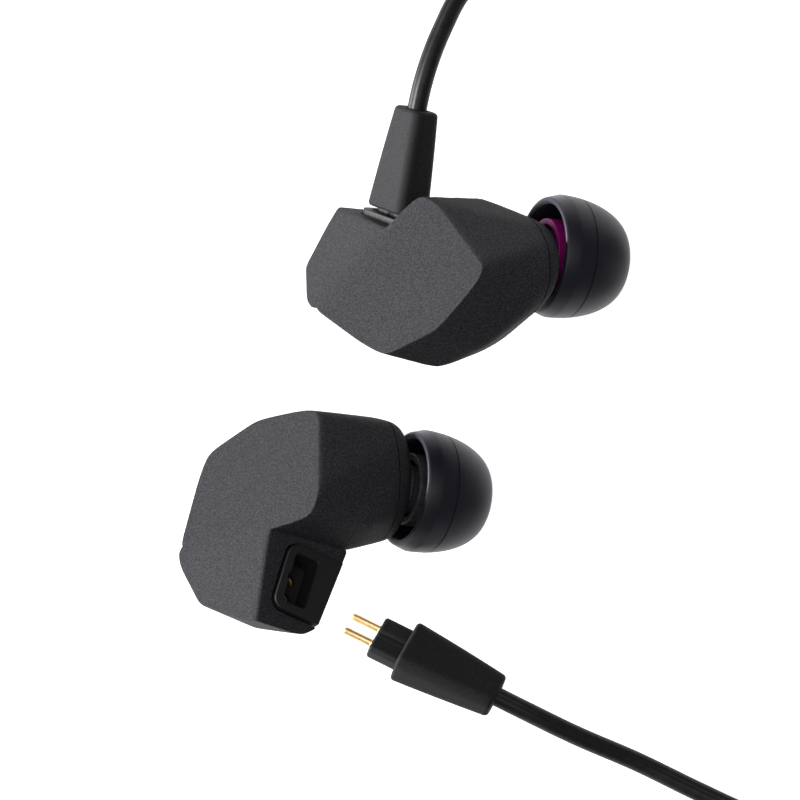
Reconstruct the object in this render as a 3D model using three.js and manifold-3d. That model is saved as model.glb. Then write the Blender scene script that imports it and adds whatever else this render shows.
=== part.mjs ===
// In ear monitors: two mirrored earpieces with silicone ear tips, and a detachable 2-pin cable.
// Millimetres, +Z up. The table top is z = 0, and the origin is under the middle of the earpieces
// and connectors. The right earpiece is plugged in; the left one lies beside its connector.
import * as THREE from 'three';
import { mergeVertices } from 'three/addons/utils/BufferGeometryUtils.js';
import { ConvexGeometry } from 'three/addons/geometries/ConvexGeometry.js';
import Module from 'manifold-3d';

const wasm = await Module();
wasm.setup();

// ---------------------------------------------------------------- driving dimensions
// Earpiece frame: +X runs out of the nozzle, +Z is the way the cable leaves, and the origin is
// the middle of the ear tip's widest ring. The right earpiece mirrors Y.
const TIP_RADIUS = 6.25; // widest part of the ear tip
const TIP_FRONT = 5.2; // front of the ear tip
const TIP_RIM = -3.4; // open edge of its skirt
const TIP_WALL = 0.7;
const TIP_OPENING = 2.1; // radius of the sound hole
const CORE_RADIUS = 3.7;
const CORE_BORE = 3.05;
const CORE_BACK = -3.3;
const NOZZLE_RADIUS = 2.55;
const NOZZLE_BORE = 1.8;
const NOZZLE_END = 3.6;
const SEAM_X = -4.6; // parting plane between the outer shell and the inner cover
const COVER_END = -3.7;
const SHELL_WALL = 1.0;
const GAP = 0.3; // clearance between neighbouring pieces
const SOCKET_Z = -0.3; // face that carries the socket
const COLLAR_HEIGHT = 0.7;
const SOCKET_CENTRE = [-14.7, -11.5];
const SOCKET_TURN = THREE.MathUtils.degToRad(-15.7); // socket's long side against the Y axis
const SOCKET_WIDTH = 2.5;
const SOCKET_LENGTH = 5.3;
const SOCKET_DEPTH = 3.6;
const SOCKET_STEP = -4.0; // below this the socket's insert is narrower
const BLOCK_BOTTOM = -6.2;
const PIN_RADIUS = 0.39;
const PIN_PITCH = 2.0;
const PIN_LENGTH = 3.0;
const SHROUD_LENGTH = 3.2;
const SHROUD_WIDTH = 1.9;
const SHROUD_BREADTH = 4.7;
const BOOT_LENGTH = 10.2;
const BOOT_BASE = [4.2, 6.3];
const BOOT_MIDDLE = [3.9, 5.65];
const BOOT_END = [3.3, 4.5];
const BOOT_Z = 0.75; // where the boot starts above the earpiece's middle, plugged in
const DRIVER_CENTRE = [1.0, -2.5];
const DRIVER_RADIUS = 3.5;
const DRIVER_FRONT = -8.6;
const BRANCH_DIAMETER = 2.0;
const MAIN_DIAMETER = 2.4;
const CORD_SIDES = 8;
const COIL_LIFT = 0.9; // height of a coil over the table, on its tie
const BRANCH_COIL = { x: 62.2, y: 28.3, mid: 12 };
const MAIN_COIL = { x: 63, y: -23, mid: 14.4 };
const BRANCH_LAYERS = { left: 2, right: 3 }; // the right coil lies on the left one
const MAIN_LAYERS = 3; // and as many turns side by side
const TIE_WIDTH = 5;
const TIE_THICK = 0.55;
const TIE_SLACK = 0.7; // room at the sides of a coil inside its strap
const BRANCH_TIE_ANGLE = -2.2; // where the straps sit, in radians round their coils
const MAIN_TIE_ANGLE = 2.2;
const PAIR_X = 78.6; // line on which both branches run side by side
const PAIR_Z = 2.2;
const PAIR_PITCH = 2.3;
const SLIDER_Y = 9;
const SLIDER_LENGTH = 6;
const SPLIT_TOP = 1.0; // end of the split where the branches enter
const SPLIT_LENGTH = 9;
const PLUG_START = new THREE.Vector3(47.5, -46.4, 3.1); // cord end; the plug points to -X
const PLUG_RADIUS = 3.0;

// The middle of the earpieces and connectors in the layout that the places below use.
const ORIGIN = { x: 0.8, y: 0.0 };

// Where each earpiece lies: middle of the ear tip's ring, nozzle direction, cable direction.
const LEFT_PLACE = {
  ring: new THREE.Vector3(3.64, -8.26, 6.25),
  nozzle: new THREE.Vector3(0.9, -0.156, -0.407),
  cable: new THREE.Vector3(0.435, 0.293, 0.851),
};
const RIGHT_PLACE = {
  ring: new THREE.Vector3(17.49, 15.61, 9.4),
  nozzle: new THREE.Vector3(0.907, -0.097, -0.41),
  cable: new THREE.Vector3(0.185, 0.966, 0.181),
};
// The loose connector: middle of the boot's wide end, cable direction, roll about that axis.
const LOOSE_CONNECTOR = {
  base: new THREE.Vector3(0.6, -24.4, 3.5),
  cable: new THREE.Vector3(0.893, -0.437, 0.11),
  roll: THREE.MathUtils.degToRad(38),
};

// Corners of the big outer facet, of the small one, and of the widest contour behind them.
const FACET = {
  ridgeLow: [-24.0, -7.0, -9.4],
  ridgeNotch: [-18.0, -6.05, -0.3],
  ridgeHigh: [-15.2, -5.6, 3.7],
  farHigh: [-13.1, 7.5, -1.8],
  farLow: [-16.6, 7.5, -7.5],
  bottom: [-20.3, 4.4, -11.3],
  wingHigh: [-19.25, -16.2, -0.3],
  wingLow: [-22.85, -13.4, -6.4],
};
const SHOULDER = [
  [-8.5, -5.7, 4.3],
  [-9.4, -7.5, -0.3],
  [-6.0, 7.8, -1.6],
  [-11.2, 8.1, -8.4],
  [-14.6, 5.0, -12.0],
  [-17.5, -6.3, -11.0],
];
const WING_BACK = [
  [-14.3, -17.0, -0.3],
  [-12.7, -16.1, -0.3],
  [-9.4, -7.4, -0.3],
  [-15.9, -14.7, -7.6],
  [-11.4, -7.4, -10.0],
];

// ---------------------------------------------------------------- materials
function finish(colour, roughness, metalness = 0) {
  return new THREE.MeshStandardMaterial({ color: colour, roughness, metalness });
}

const MATERIALS = {
  shell: finish('#4a4b4e', 0.55, 0.2),
  silicone: finish('#141318', 0.35),
  rightCore: finish('#c01e6e', 0.4),
  leftCore: finish('#8d8f94', 0.4),
  plastic: finish('#101011', 0.45),
  boot: finish('#1b1b1d', 0.6),
  cord: finish('#1c1c1f', 0.4),
  gold: finish('#d9a441', 0.25, 1),
  steel: finish('#9a9ca0', 0.35, 1),
  mesh: finish('#b4b6b9', 0.4, 1),
  copper: finish('#b8703c', 0.35, 1),
  film: finish('#c9cbd0', 0.3),
  board: finish('#1f5a38', 0.5),
  tie: finish('#161617', 0.9),
};

// ---------------------------------------------------------------- shape helpers
const vec = (point) => new THREE.Vector3(...point);

/** Keeps only positions, welds them and turns the faces outwards. */
function welded(geometry) {
  geometry.deleteAttribute('normal');
  geometry.deleteAttribute('uv');
  const merged = mergeVertices(geometry, 1e-5);
  const at = merged.attributes.position;
  const index = merged.index.array;
  const corner = [new THREE.Vector3(), new THREE.Vector3(), new THREE.Vector3()];
  const kept = [];
  let volume = 0;
  for (let i = 0; i < index.length; i += 3) {
    const [a, b, c] = [index[i], index[i + 1], index[i + 2]];
    if (a === b || b === c || a === c) continue;
    [a, b, c].forEach((n, k) => corner[k].fromBufferAttribute(at, n));
    volume += corner[0].dot(corner[1].clone().cross(corner[2]));
    kept.push(a, b, c);
  }
  merged.setIndex(volume < 0 ? kept.reverse() : kept);
  return merged;
}

function solid(geometry) {
  const mesh = welded(geometry);
  return new wasm.Manifold(
    new wasm.Mesh({
      numProp: 3,
      vertProperties: new Float32Array(mesh.attributes.position.array),
      triVerts: new Uint32Array(mesh.index.array),
    }),
  );
}

function geometryOf(manifold) {
  const mesh = manifold.getMesh();
  const geometry = new THREE.BufferGeometry();
  geometry.setAttribute('position', new THREE.BufferAttribute(mesh.vertProperties, 3));
  geometry.setIndex(new THREE.BufferAttribute(mesh.triVerts, 1));
  return geometry;
}

function piece(name, shape, material) {
  const geometry = shape.isBufferGeometry ? welded(shape) : geometryOf(shape);
  const mesh = new THREE.Mesh(geometry, material);
  mesh.name = name;
  return mesh;
}

/** Turns [x, radius] points about the X axis. */
function turned(profile, segments = 24) {
  const points = profile.map(([x, radius]) => new THREE.Vector2(radius, x));
  return new THREE.LatheGeometry(points, segments).rotateZ(-Math.PI / 2);
}

/** A ring about the X axis from one radius to another. */
function ring(x0, x1, inner, outer, segments = 24) {
  const profile = [
    [x0, inner],
    [x0, outer],
    [x1, outer],
    [x1, inner],
    [x0, inner],
  ];
  return turned(profile, segments);
}

function disc(x0, x1, radius, segments = 24) {
  return turned([[x0, 0], [x0, radius], [x1, radius], [x1, 0]], segments);
}

function hull(points) {
  return solid(new ConvexGeometry(points.map(vec)));
}

/** Points on an ellipse in a plane across the X axis. */
function oval(x, [y, z], [halfY, halfZ], count = 20) {
  const points = [];
  for (let i = 0; i < count; i += 1) {
    const angle = (2 * Math.PI * i) / count;
    points.push([x, y + halfY * Math.cos(angle), z + halfZ * Math.sin(angle)]);
  }
  return points;
}

/** Moves points towards their middle by about one distance, for an inner wall. */
function inset(points, distance) {
  const middle = points.reduce((sum, p) => sum.add(vec(p)), new THREE.Vector3());
  middle.divideScalar(points.length);
  return points.map((p) => {
    const arm = vec(p).sub(middle);
    arm.setLength(Math.max(arm.length() - 1.2 * distance, 0.1));
    return arm.add(middle).toArray();
  });
}

/** A rounded rectangle outline, width along X and length along Y. */
function rounded(width, length, radius, steps = 3) {
  const shape = new THREE.Shape();
  const [w, h] = [width / 2 - radius, length / 2 - radius];
  const centres = [[w, h, 0], [-w, h, 1], [-w, -h, 2], [w, -h, 3]];
  const points = centres.flatMap(([x, y, quarter]) => {
    const corner = [];
    for (let i = 0; i <= steps; i += 1) {
      const angle = ((quarter + i / steps) * Math.PI) / 2;
      corner.push(new THREE.Vector2(x + radius * Math.cos(angle), y + radius * Math.sin(angle)));
    }
    return corner;
  });
  shape.setFromPoints(points);
  return shape;
}

/** A rounded bar along Z from one height to another. */
function bar(width, length, radius, z0, z1) {
  const options = { depth: z1 - z0, bevelEnabled: false };
  return new THREE.ExtrudeGeometry(rounded(width, length, radius), options).translate(0, 0, z0);
}

function rod(radius, z0, z1, sides = 12) {
  return new THREE.CylinderGeometry(radius, radius, z1 - z0, sides)
    .rotateX(Math.PI / 2)
    .translate(0, 0, (z0 + z1) / 2);
}

/** A tube along hand-placed points, one step every two or three diameters. */
function cordTube(points, diameter, steps) {
  const route = new THREE.CatmullRomCurve3(points.map(vec), false, 'centripetal');
  const outline = new THREE.Shape();
  outline.absarc(0, 0, diameter / 2, 0, 2 * Math.PI, false);
  return new THREE.ExtrudeGeometry(outline, {
    extrudePath: route,
    steps,
    curveSegments: CORD_SIDES / 2,
    bevelEnabled: false,
  });
}

/** The outer shape of a coil that lies flat. */
function coilRing({ x, y, mid }, halfWidth, z0, height) {
  const cut = 0.25 * halfWidth;
  const [inner, outer, top] = [mid - halfWidth, mid + halfWidth, z0 + height];
  const profile = [
    [inner + cut, z0],
    [outer - cut, z0],
    [outer, z0 + cut],
    [outer, top - cut],
    [outer - cut, top],
    [inner + cut, top],
    [inner, top - cut],
    [inner, z0 + cut],
    [inner + cut, z0],
  ];
  const points = profile.map(([radius, z]) => new THREE.Vector2(radius, z));
  return new THREE.LatheGeometry(points, 24).rotateX(Math.PI / 2).translate(x, y, 0);
}

// ---------------------------------------------------------------- earpiece
/** Puts a shape made about the socket's own axis into the earpiece. */
function atSocket(geometry) {
  return geometry.rotateZ(SOCKET_TURN).translate(SOCKET_CENTRE[0], SOCKET_CENTRE[1], 0);
}

function shellCorners() {
  const big = ['ridgeLow', 'ridgeHigh', 'farHigh', 'farLow', 'bottom'].map((key) => FACET[key]);
  const small = ['ridgeLow', 'ridgeNotch', 'wingHigh', 'wingLow'].map((key) => FACET[key]);
  const seam = oval(SEAM_X, [0.9, -1.0], [6.3, 4.5]);
  return { main: [...big, ...SHOULDER, ...seam], wing: [...small, ...WING_BACK] };
}

function beyondSeam(x) {
  return solid(new THREE.BoxGeometry(20, 40, 40).translate(x + 10, 0, 0));
}

function outerShell() {
  const { main, wing } = shellCorners();
  const hollowEnd = oval(SEAM_X + 2, [0.9, -1.0], [6.3 - SHELL_WALL, 4.5 - SHELL_WALL]);
  const hollow = hull([...inset(main, SHELL_WALL), ...hollowEnd]).add(hull(inset(wing, SHELL_WALL)));
  const pocket = solid(atSocket(geometryOf(socketBody(GAP, 2))));
  let shell = hull(main).add(hull(wing)).subtract(hollow).subtract(pocket);
  contactPlaces().forEach((y) => {
    shell = shell.subtract(solid(signalWire(y, 1.1)));
  });
  return shell.subtract(beyondSeam(SEAM_X));
}

/** The insert that carries the contacts, larger by a margin where it is the pocket for it. */
function socketBody(margin, top) {
  const collar = bar(4.3 + 2 * margin, 7.2 + 2 * margin, 1.2, SOCKET_STEP - margin, top);
  const stem = bar(3.4 + 2 * margin, 4.6 + 2 * margin, 1.0, BLOCK_BOTTOM - margin, SOCKET_STEP + 1);
  return solid(collar).add(solid(stem));
}

function contactPlaces() {
  return [-PIN_PITCH / 2, PIN_PITCH / 2];
}

function socketBlock() {
  const recessFloor = SOCKET_Z + COLLAR_HEIGHT - SOCKET_DEPTH;
  const recess = bar(SOCKET_WIDTH, SOCKET_LENGTH, 0.5, recessFloor, 2);
  let block = socketBody(0, SOCKET_Z + COLLAR_HEIGHT).subtract(solid(recess));
  contactPlaces().forEach((y) => {
    block = block.subtract(solid(rod(1.0, BLOCK_BOTTOM - 1, recessFloor + 1).translate(0, y, 0)));
  });
  return atSocket(geometryOf(block));
}

/** A split sleeve that grips one pin, open at both ends. */
function contact(y) {
  const sleeve = solid(rod(0.69, BLOCK_BOTTOM + 0.6, -3.9)).subtract(
    solid(rod(PIN_RADIUS + 0.05, BLOCK_BOTTOM, -3)),
  );
  return atSocket(geometryOf(sleeve.translate([0, y, 0])));
}

function innerCover() {
  const outline = oval(SEAM_X + GAP / 2, [0.9, -1.0], [6.2, 4.4]);
  const waist = oval(COVER_END - 0.3, [0.5, -0.8], [5.4, 4.0]);
  const plate = oval(COVER_END, [0.4, -0.6], [4.5, 3.3]);
  const barb = [
    [COVER_END - 0.5, 0],
    [COVER_END - 0.5, NOZZLE_RADIUS],
    [NOZZLE_END - 1.6, NOZZLE_RADIUS],
    [NOZZLE_END - 1.3, NOZZLE_RADIUS + 0.2],
    [NOZZLE_END - 0.5, NOZZLE_RADIUS + 0.2],
    [NOZZLE_END, NOZZLE_RADIUS - 0.2],
    [NOZZLE_END, 0],
  ];
  const sound = solid(disc(SEAM_X - 1, NOZZLE_END + 1, NOZZLE_BORE));
  const seat = solid(disc(NOZZLE_END - 0.6, NOZZLE_END + 1, NOZZLE_BORE + 0.25));
  const hollow = hull([
    ...oval(SEAM_X - 1, [0.9, -1.0], [5.2, 3.4]),
    ...oval(COVER_END - 0.8, [0.3, -0.5], [3.0, 2.2]),
  ]);
  return hull([...outline, ...waist, ...plate])
    .add(solid(turned(barb)))
    .subtract(hollow)
    .subtract(sound)
    .subtract(seat);
}

/** The skirt: out over the widest part, back to the rim, and home along the inside. */
function tipDome() {
  const outside = [];
  const inside = [];
  const steps = 5;
  const widest = -2.0;
  const neck = CORE_RADIUS + GAP;
  const front = 2.9;
  for (let i = 0; i <= steps; i += 1) {
    const angle = (Math.PI / 2) * (i / steps);
    const rise = Math.sin(angle) ** 0.8;
    outside.push([widest + (TIP_FRONT - widest) * Math.cos(angle), front + (TIP_RADIUS - front) * rise]);
    const wall = TIP_RADIUS - TIP_WALL - neck;
    inside.push([widest + (TIP_FRONT - 1.8 - widest) * Math.cos(angle), neck + wall * rise]);
  }
  const rim = [
    [TIP_RIM, TIP_RADIUS - 0.35],
    [TIP_RIM, TIP_RADIUS - 0.35 - TIP_WALL],
  ];
  const face = TIP_FRONT - 0.8;
  const home = [[face, neck], [face, TIP_OPENING], [TIP_FRONT, TIP_OPENING], outside[0]];
  return turned([...outside, ...rim, ...inside.reverse(), ...home], 24);
}

function tipCore() {
  return ring(CORE_BACK, TIP_FRONT - 0.8 - GAP, CORE_BORE, CORE_RADIUS);
}

/** Driver pieces, front to back, turned about the driver's own axis. */
function driverPieces() {
  const front = DRIVER_FRONT;
  return {
    frame: turned([
      [front, DRIVER_RADIUS - 0.35],
      [front, DRIVER_RADIUS],
      [front - 2.2, DRIVER_RADIUS],
      [front - 2.2, 3.2],
      [front - 1.6, 3.2],
      [front - 1.6, DRIVER_RADIUS - 0.35],
      [front, DRIVER_RADIUS - 0.35],
    ]),
    diaphragm: turned([
      [front - 0.75, 0],
      [front - 0.75, 1.4],
      [front - 1.05, 2.3],
      [front - 0.75, 2.95],
      [front - 0.95, 2.95],
      [front - 1.25, 2.3],
      [front - 0.95, 1.4],
      [front - 0.95, 0],
    ]),
    voice_coil: ring(front - 2.9, front - 1.6, 1.75, 2.0),
    magnet: disc(front - 3.5, front - 2.0, 1.4),
    yoke: turned([
      [front - 2.5, 2.35],
      [front - 2.5, 2.9],
      [front - 4.2, 2.9],
      [front - 4.2, 0],
      [front - 3.8, 0],
      [front - 3.8, 2.35],
      [front - 2.5, 2.35],
    ]),
    board: disc(front - 4.9, front - 4.5, 2.2),
  };
}

/** A wire from one contact of the socket to the driver's board, or the channel that it lies in. */
function signalWire(y, diameter = 0.4) {
  const x = SOCKET_CENTRE[0] - y * Math.sin(SOCKET_TURN);
  const start = SOCKET_CENTRE[1] + y * Math.cos(SOCKET_TURN);
  const low = BLOCK_BOTTOM - 0.5;
  const board = DRIVER_FRONT - 5.2;
  const points = [
    [x, start, BLOCK_BOTTOM + 0.1],
    [x + 0.2 + 0.4 * y, start + 0.8, low],
    [x + 0.7 + 0.4 * y, start + 3.6, low + 0.2],
    [board - 0.3, -3.4 + 0.7 * y, low + 2.0],
    [board, DRIVER_CENTRE[0] - 1.2 + 0.8 * y, DRIVER_CENTRE[1] - 0.9],
  ];
  return cordTube(points, diameter, 8);
}

function earpiece(side) {
  const group = new THREE.Group();
  const add = (name, shape, material) => group.add(piece(`${side}_${name}`, shape, material));
  const core = side === 'right' ? MATERIALS.rightCore : MATERIALS.leftCore;
  add('outer_shell', outerShell(), MATERIALS.shell);
  add('inner_cover', innerCover(), MATERIALS.shell);
  add('nozzle_filter', disc(NOZZLE_END - 0.3, NOZZLE_END - 0.1, NOZZLE_BORE - 0.05), MATERIALS.mesh);
  add('ear_tip_dome', tipDome(), MATERIALS.silicone);
  add('ear_tip_core', tipCore(), core);
  add('socket_block', socketBlock(), MATERIALS.plastic);
  contactPlaces().forEach((y, i) => {
    add(`socket_contact_${'ab'[i]}`, contact(y), MATERIALS.gold);
    add(`signal_wire_${'ab'[i]}`, signalWire(y), MATERIALS.copper);
  });
  const looks = {
    frame: MATERIALS.plastic,
    diaphragm: MATERIALS.film,
    voice_coil: MATERIALS.copper,
    magnet: MATERIALS.steel,
    yoke: MATERIALS.steel,
    board: MATERIALS.board,
  };
  Object.entries(driverPieces()).forEach(([name, shape]) => {
    add(`driver_${name}`, shape.translate(0, ...DRIVER_CENTRE), looks[name]);
  });
  return group;
}

// ---------------------------------------------------------------- connector
/** Boot, shroud and pins about the socket axis, +Z towards the cord, boot starting at z = 0. */
function boot() {
  const corners = [];
  [[0, BOOT_BASE], [0.4 * BOOT_LENGTH, BOOT_MIDDLE], [BOOT_LENGTH, BOOT_END]].forEach(([z, size]) => {
    rounded(size[0], size[1], 0.8)
      .getPoints()
      .forEach((p) => corners.push([p.x, p.y, z]));
  });
  return hull(corners);
}

function connector(side) {
  const group = new THREE.Group();
  const add = (name, shape, material) => group.add(piece(`${side}_${name}`, shape, material));
  add('connector_boot', boot(), MATERIALS.boot);
  const block = solid(bar(SHROUD_WIDTH, SHROUD_BREADTH, 0.4, -SHROUD_LENGTH, -GAP));
  add('connector_shroud', block, MATERIALS.plastic);
  contactPlaces().forEach((y, i) => {
    const pin = rod(PIN_RADIUS, -SHROUD_LENGTH - GAP - PIN_LENGTH, -SHROUD_LENGTH - GAP);
    add(`connector_pin_${'ab'[i]}`, pin.translate(0, y, 0), MATERIALS.gold);
  });
  return group;
}

// ---------------------------------------------------------------- cable
// Routes are lists of points in the object's frame, from the earpieces towards the plug.
const RIGHT_ROUTE = [
  [1.9, 30.7, 7.1],
  [2.4, 33.0, 7.4],
  [3.3, 36.0, 7.2],
  [4.5, 39.0, 6.4],
  [6.6, 43.0, 4.8],
  [10.5, 46.4, 3.0],
  [16.5, 48.2, 1.6],
  [24.0, 48.3, 1.1],
  [33.0, 47.2, 1.1],
  [42.0, 45.6, 2.3],
  [50.0, 43.6, 4.7],
  [56.0, 42.1, 6.1],
  [62.2, 41.3, 6.2],
];
const LEFT_ROUTE = [
  [10.0, -29.0, 4.7],
  [13.0, -30.5, 4.7],
  [18.2, -33.1, 3.4],
  [24.7, -36.0, 1.7],
  [31.2, -39.2, 1.1],
  [36.4, -41.5, 1.1],
  [41.1, -42.6, 1.1],
  [43.8, -37.5, 1.1],
  [43.3, -26.0, 1.1],
  [43.4, -12.0, 1.1],
  [44.4, 3.0, 1.2],
  [47.0, 16.0, 1.6],
  [49.2, 28.3, 1.9],
];
const RIGHT_TAIL = [
  [75.2, 28.3, 10.2],
  [75.7, 24.0, 9.4],
  [77.5, 18.8, 5.8],
  [79.55, 14.8, 2.5],
  [79.75, 12.4, 2.2],
  [79.75, 6.0, 2.2],
  [79.75, 1.3, 2.2],
];
const LEFT_TAIL = [
  [75.2, 28.3, 3.9],
  [75.2, 23.0, 3.5],
  [76.0, 18.6, 2.8],
  [77.3, 14.8, 2.3],
  [77.45, 12.4, 2.2],
  [77.45, 6.0, 2.2],
  [77.45, 1.3, 2.2],
];
const MAIN_ROUTE = [
  [78.6, -8.3, 2.2],
  [78.9, -13.0, 2.15],
  [79.6, -18.0, 2.1],
  [79.8, -23.0, 2.1],
];
const MAIN_TAIL = [
  [63.0, -39.8, 6.9],
  [58.5, -40.4, 6.6],
  [54.6, -42.4, 5.2],
  [52.0, -45.2, 3.6],
  [49.8, -46.3, 3.1],
  [47.9, -46.4, 3.1],
];

/** A tube cut back where it meets a coil, with the usual clearance. */
function freeRun(name, points, diameter, steps, coil) {
  let tube = solid(cordTube(points, diameter, steps));
  if (coil) tube = tube.subtract(coil);
  return piece(name, tube, MATERIALS.cord);
}

/** The coil of one branch, two turns wide, or with a margin the room that other pieces leave it. */
function branchCoil(side, margin = 0) {
  const height = BRANCH_LAYERS[side] * BRANCH_DIAMETER;
  const base = side === 'left' ? COIL_LIFT : COIL_LIFT + BRANCH_LAYERS.left * BRANCH_DIAMETER + GAP;
  return coilRing(BRANCH_COIL, BRANCH_DIAMETER + margin, base - margin, height + 2 * margin);
}

function mainCoil(margin = 0) {
  const height = MAIN_LAYERS * MAIN_DIAMETER;
  const halfWidth = (MAIN_LAYERS * MAIN_DIAMETER) / 2;
  return coilRing(MAIN_COIL, halfWidth + margin, COIL_LIFT - margin, height + 2 * margin);
}

/** A strap round the section of a coil, on the side that an angle names. */
function coilTie({ x, y, mid }, halfWidth, height, angle) {
  const [w, h] = [2 * (halfWidth + TIE_SLACK), height + 2 * GAP];
  const middle = COIL_LIFT + height / 2;
  const outside = solid(new THREE.BoxGeometry(w + 2 * TIE_THICK, TIE_WIDTH, h + 2 * TIE_THICK));
  const inside = solid(new THREE.BoxGeometry(w, 2 * TIE_WIDTH, h));
  return geometryOf(outside.subtract(inside))
    .translate(mid, 0, middle)
    .rotateZ(angle)
    .translate(x, y, 0);
}

/** The strap round both branch coils. */
function branchTie() {
  const layers = BRANCH_LAYERS.left + BRANCH_LAYERS.right;
  const height = layers * BRANCH_DIAMETER + GAP;
  return coilTie(BRANCH_COIL, BRANCH_DIAMETER, height, BRANCH_TIE_ANGLE);
}

function mainTie() {
  const height = MAIN_LAYERS * MAIN_DIAMETER;
  return coilTie(MAIN_COIL, height / 2, height, MAIN_TIE_ANGLE);
}

function slider() {
  let block = solid(bar(7.2, 4.2, 1.6, -SLIDER_LENGTH / 2, SLIDER_LENGTH / 2));
  [-PAIR_PITCH / 2, PAIR_PITCH / 2].forEach((x) => {
    const hole = rod(BRANCH_DIAMETER / 2 + GAP / 3, -SLIDER_LENGTH, SLIDER_LENGTH);
    block = block.subtract(solid(hole.translate(x, 0, 0)));
  });
  return geometryOf(block).rotateX(Math.PI / 2).translate(PAIR_X, SLIDER_Y, PAIR_Z);
}

/** The split narrows from the pair to the main cord and has a flat underside. */
function split() {
  const corners = [];
  [[0, 6.4, 4.3], [0.55 * SPLIT_LENGTH, 6.4, 4.3], [SPLIT_LENGTH, 4.2, 4.0]].forEach(
    ([along, width, height]) => {
      rounded(width, height, 1.1)
        .getPoints()
        .forEach((p) => corners.push([p.x + PAIR_X, SPLIT_TOP - along, p.y + height / 2 + 0.05]));
    },
  );
  return hull(corners);
}

/** Plug pieces about their own axis, X from the cord end to the tip. */
function plugPieces() {
  const body = 16;
  const relief = 5;
  const pinStart = relief + body;
  return {
    strain_relief: turned([
      [0, 0],
      [0, 1.55],
      [relief - 0.6, 2.1],
      [relief - GAP, 2.1],
      [relief - GAP, 0],
    ]),
    barrel: turned([
      [relief, 0],
      [relief, PLUG_RADIUS - 0.3],
      [relief + 0.3, PLUG_RADIUS],
      [pinStart - 0.8, PLUG_RADIUS],
      [pinStart, PLUG_RADIUS - 0.8],
      [pinStart, 0],
    ]),
    sleeve: disc(pinStart + GAP, pinStart + 5.6, 1.75, 16),
    insulator_a: disc(pinStart + 5.9, pinStart + 6.5, 1.7, 16),
    ring: disc(pinStart + 6.8, pinStart + 9.2, 1.75, 16),
    insulator_b: disc(pinStart + 9.5, pinStart + 10.1, 1.7, 16),
    tip: turned(
      [
        [pinStart + 10.4, 0],
        [pinStart + 10.4, 1.75],
        [pinStart + 11.6, 1.2],
        [pinStart + 12.6, 1.75],
        [pinStart + 14.0, 0.5],
        [pinStart + 14.0, 0],
      ],
      16,
    ),
  };
}

// ---------------------------------------------------------------- placing
/** Turns a group so that X follows the nozzle and Z follows the cable. */
function laid(group, { ring: middle, nozzle, cable }) {
  const x = nozzle.clone().normalize();
  const z = cable.clone().addScaledVector(x, -cable.dot(x)).normalize();
  const y = z.clone().cross(x);
  const holder = new THREE.Group();
  holder.matrixAutoUpdate = false;
  holder.matrix.makeBasis(x, y, z).setPosition(middle);
  holder.add(group);
  return holder;
}

/** Puts a connector about the socket of an earpiece, plugged in. */
function pluggedIn(group) {
  group.position.set(SOCKET_CENTRE[0], SOCKET_CENTRE[1], BOOT_Z);
  group.rotation.z = SOCKET_TURN;
  return group;
}

/** Lays the loose connector on the table, turned about its own axis. */
function loose(group, { base, cable, roll }) {
  const z = cable.clone().normalize();
  const side = new THREE.Vector3(0, 0, 1).cross(z).normalize();
  const up = z.clone().cross(side);
  const x = up.clone().multiplyScalar(Math.cos(roll)).addScaledVector(side, Math.sin(roll));
  const y = z.clone().cross(x);
  const holder = new THREE.Group();
  holder.matrixAutoUpdate = false;
  holder.matrix.makeBasis(x, y, z).setPosition(base);
  holder.add(group);
  return holder;
}

const root = new THREE.Group();
root.position.set(-ORIGIN.x, -ORIGIN.y, 0);

const rightSide = new THREE.Group();
rightSide.scale.y = -1;
rightSide.add(earpiece('right'), pluggedIn(connector('right')));
root.add(laid(rightSide, RIGHT_PLACE), laid(earpiece('left'), LEFT_PLACE));
root.add(loose(connector('left'), LOOSE_CONNECTOR));

const coilGuards = { right: solid(branchCoil('right', GAP)), left: solid(branchCoil('left', GAP)) };
const mainGuard = solid(mainCoil(GAP));
root.add(
  freeRun('cord_right', RIGHT_ROUTE, BRANCH_DIAMETER, 18, coilGuards.right),
  freeRun('cord_left', LEFT_ROUTE, BRANCH_DIAMETER, 20, coilGuards.left),
  freeRun('cord_right_tail', RIGHT_TAIL, BRANCH_DIAMETER, 9, coilGuards.right),
  freeRun('cord_left_tail', LEFT_TAIL, BRANCH_DIAMETER, 9, coilGuards.left),
  freeRun('cord_main', MAIN_ROUTE, MAIN_DIAMETER, 4, mainGuard),
  freeRun('cord_main_tail', MAIN_TAIL, MAIN_DIAMETER, 7, mainGuard),
  piece('coil_right', branchCoil('right'), MATERIALS.cord),
  piece('coil_left', branchCoil('left'), MATERIALS.cord),
  piece('coil_main', mainCoil(), MATERIALS.cord),
  piece('tie_branch', branchTie(), MATERIALS.tie),
  piece('tie_main', mainTie(), MATERIALS.tie),
  piece('slider', slider(), MATERIALS.plastic),
  piece('y_split', split(), MATERIALS.plastic),
);

const plug = new THREE.Group();
const metal = new Set(['sleeve', 'ring', 'tip']);
Object.entries(plugPieces()).forEach(([name, shape]) => {
  plug.add(piece(`plug_${name}`, shape, metal.has(name) ? MATERIALS.gold : MATERIALS.plastic));
});
plug.position.copy(PLUG_START);
plug.rotation.z = Math.PI;
root.add(plug);

export default root;
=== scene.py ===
import math

import bmesh
import bpy
import numpy as np
from mathutils import Matrix, Vector


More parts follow.
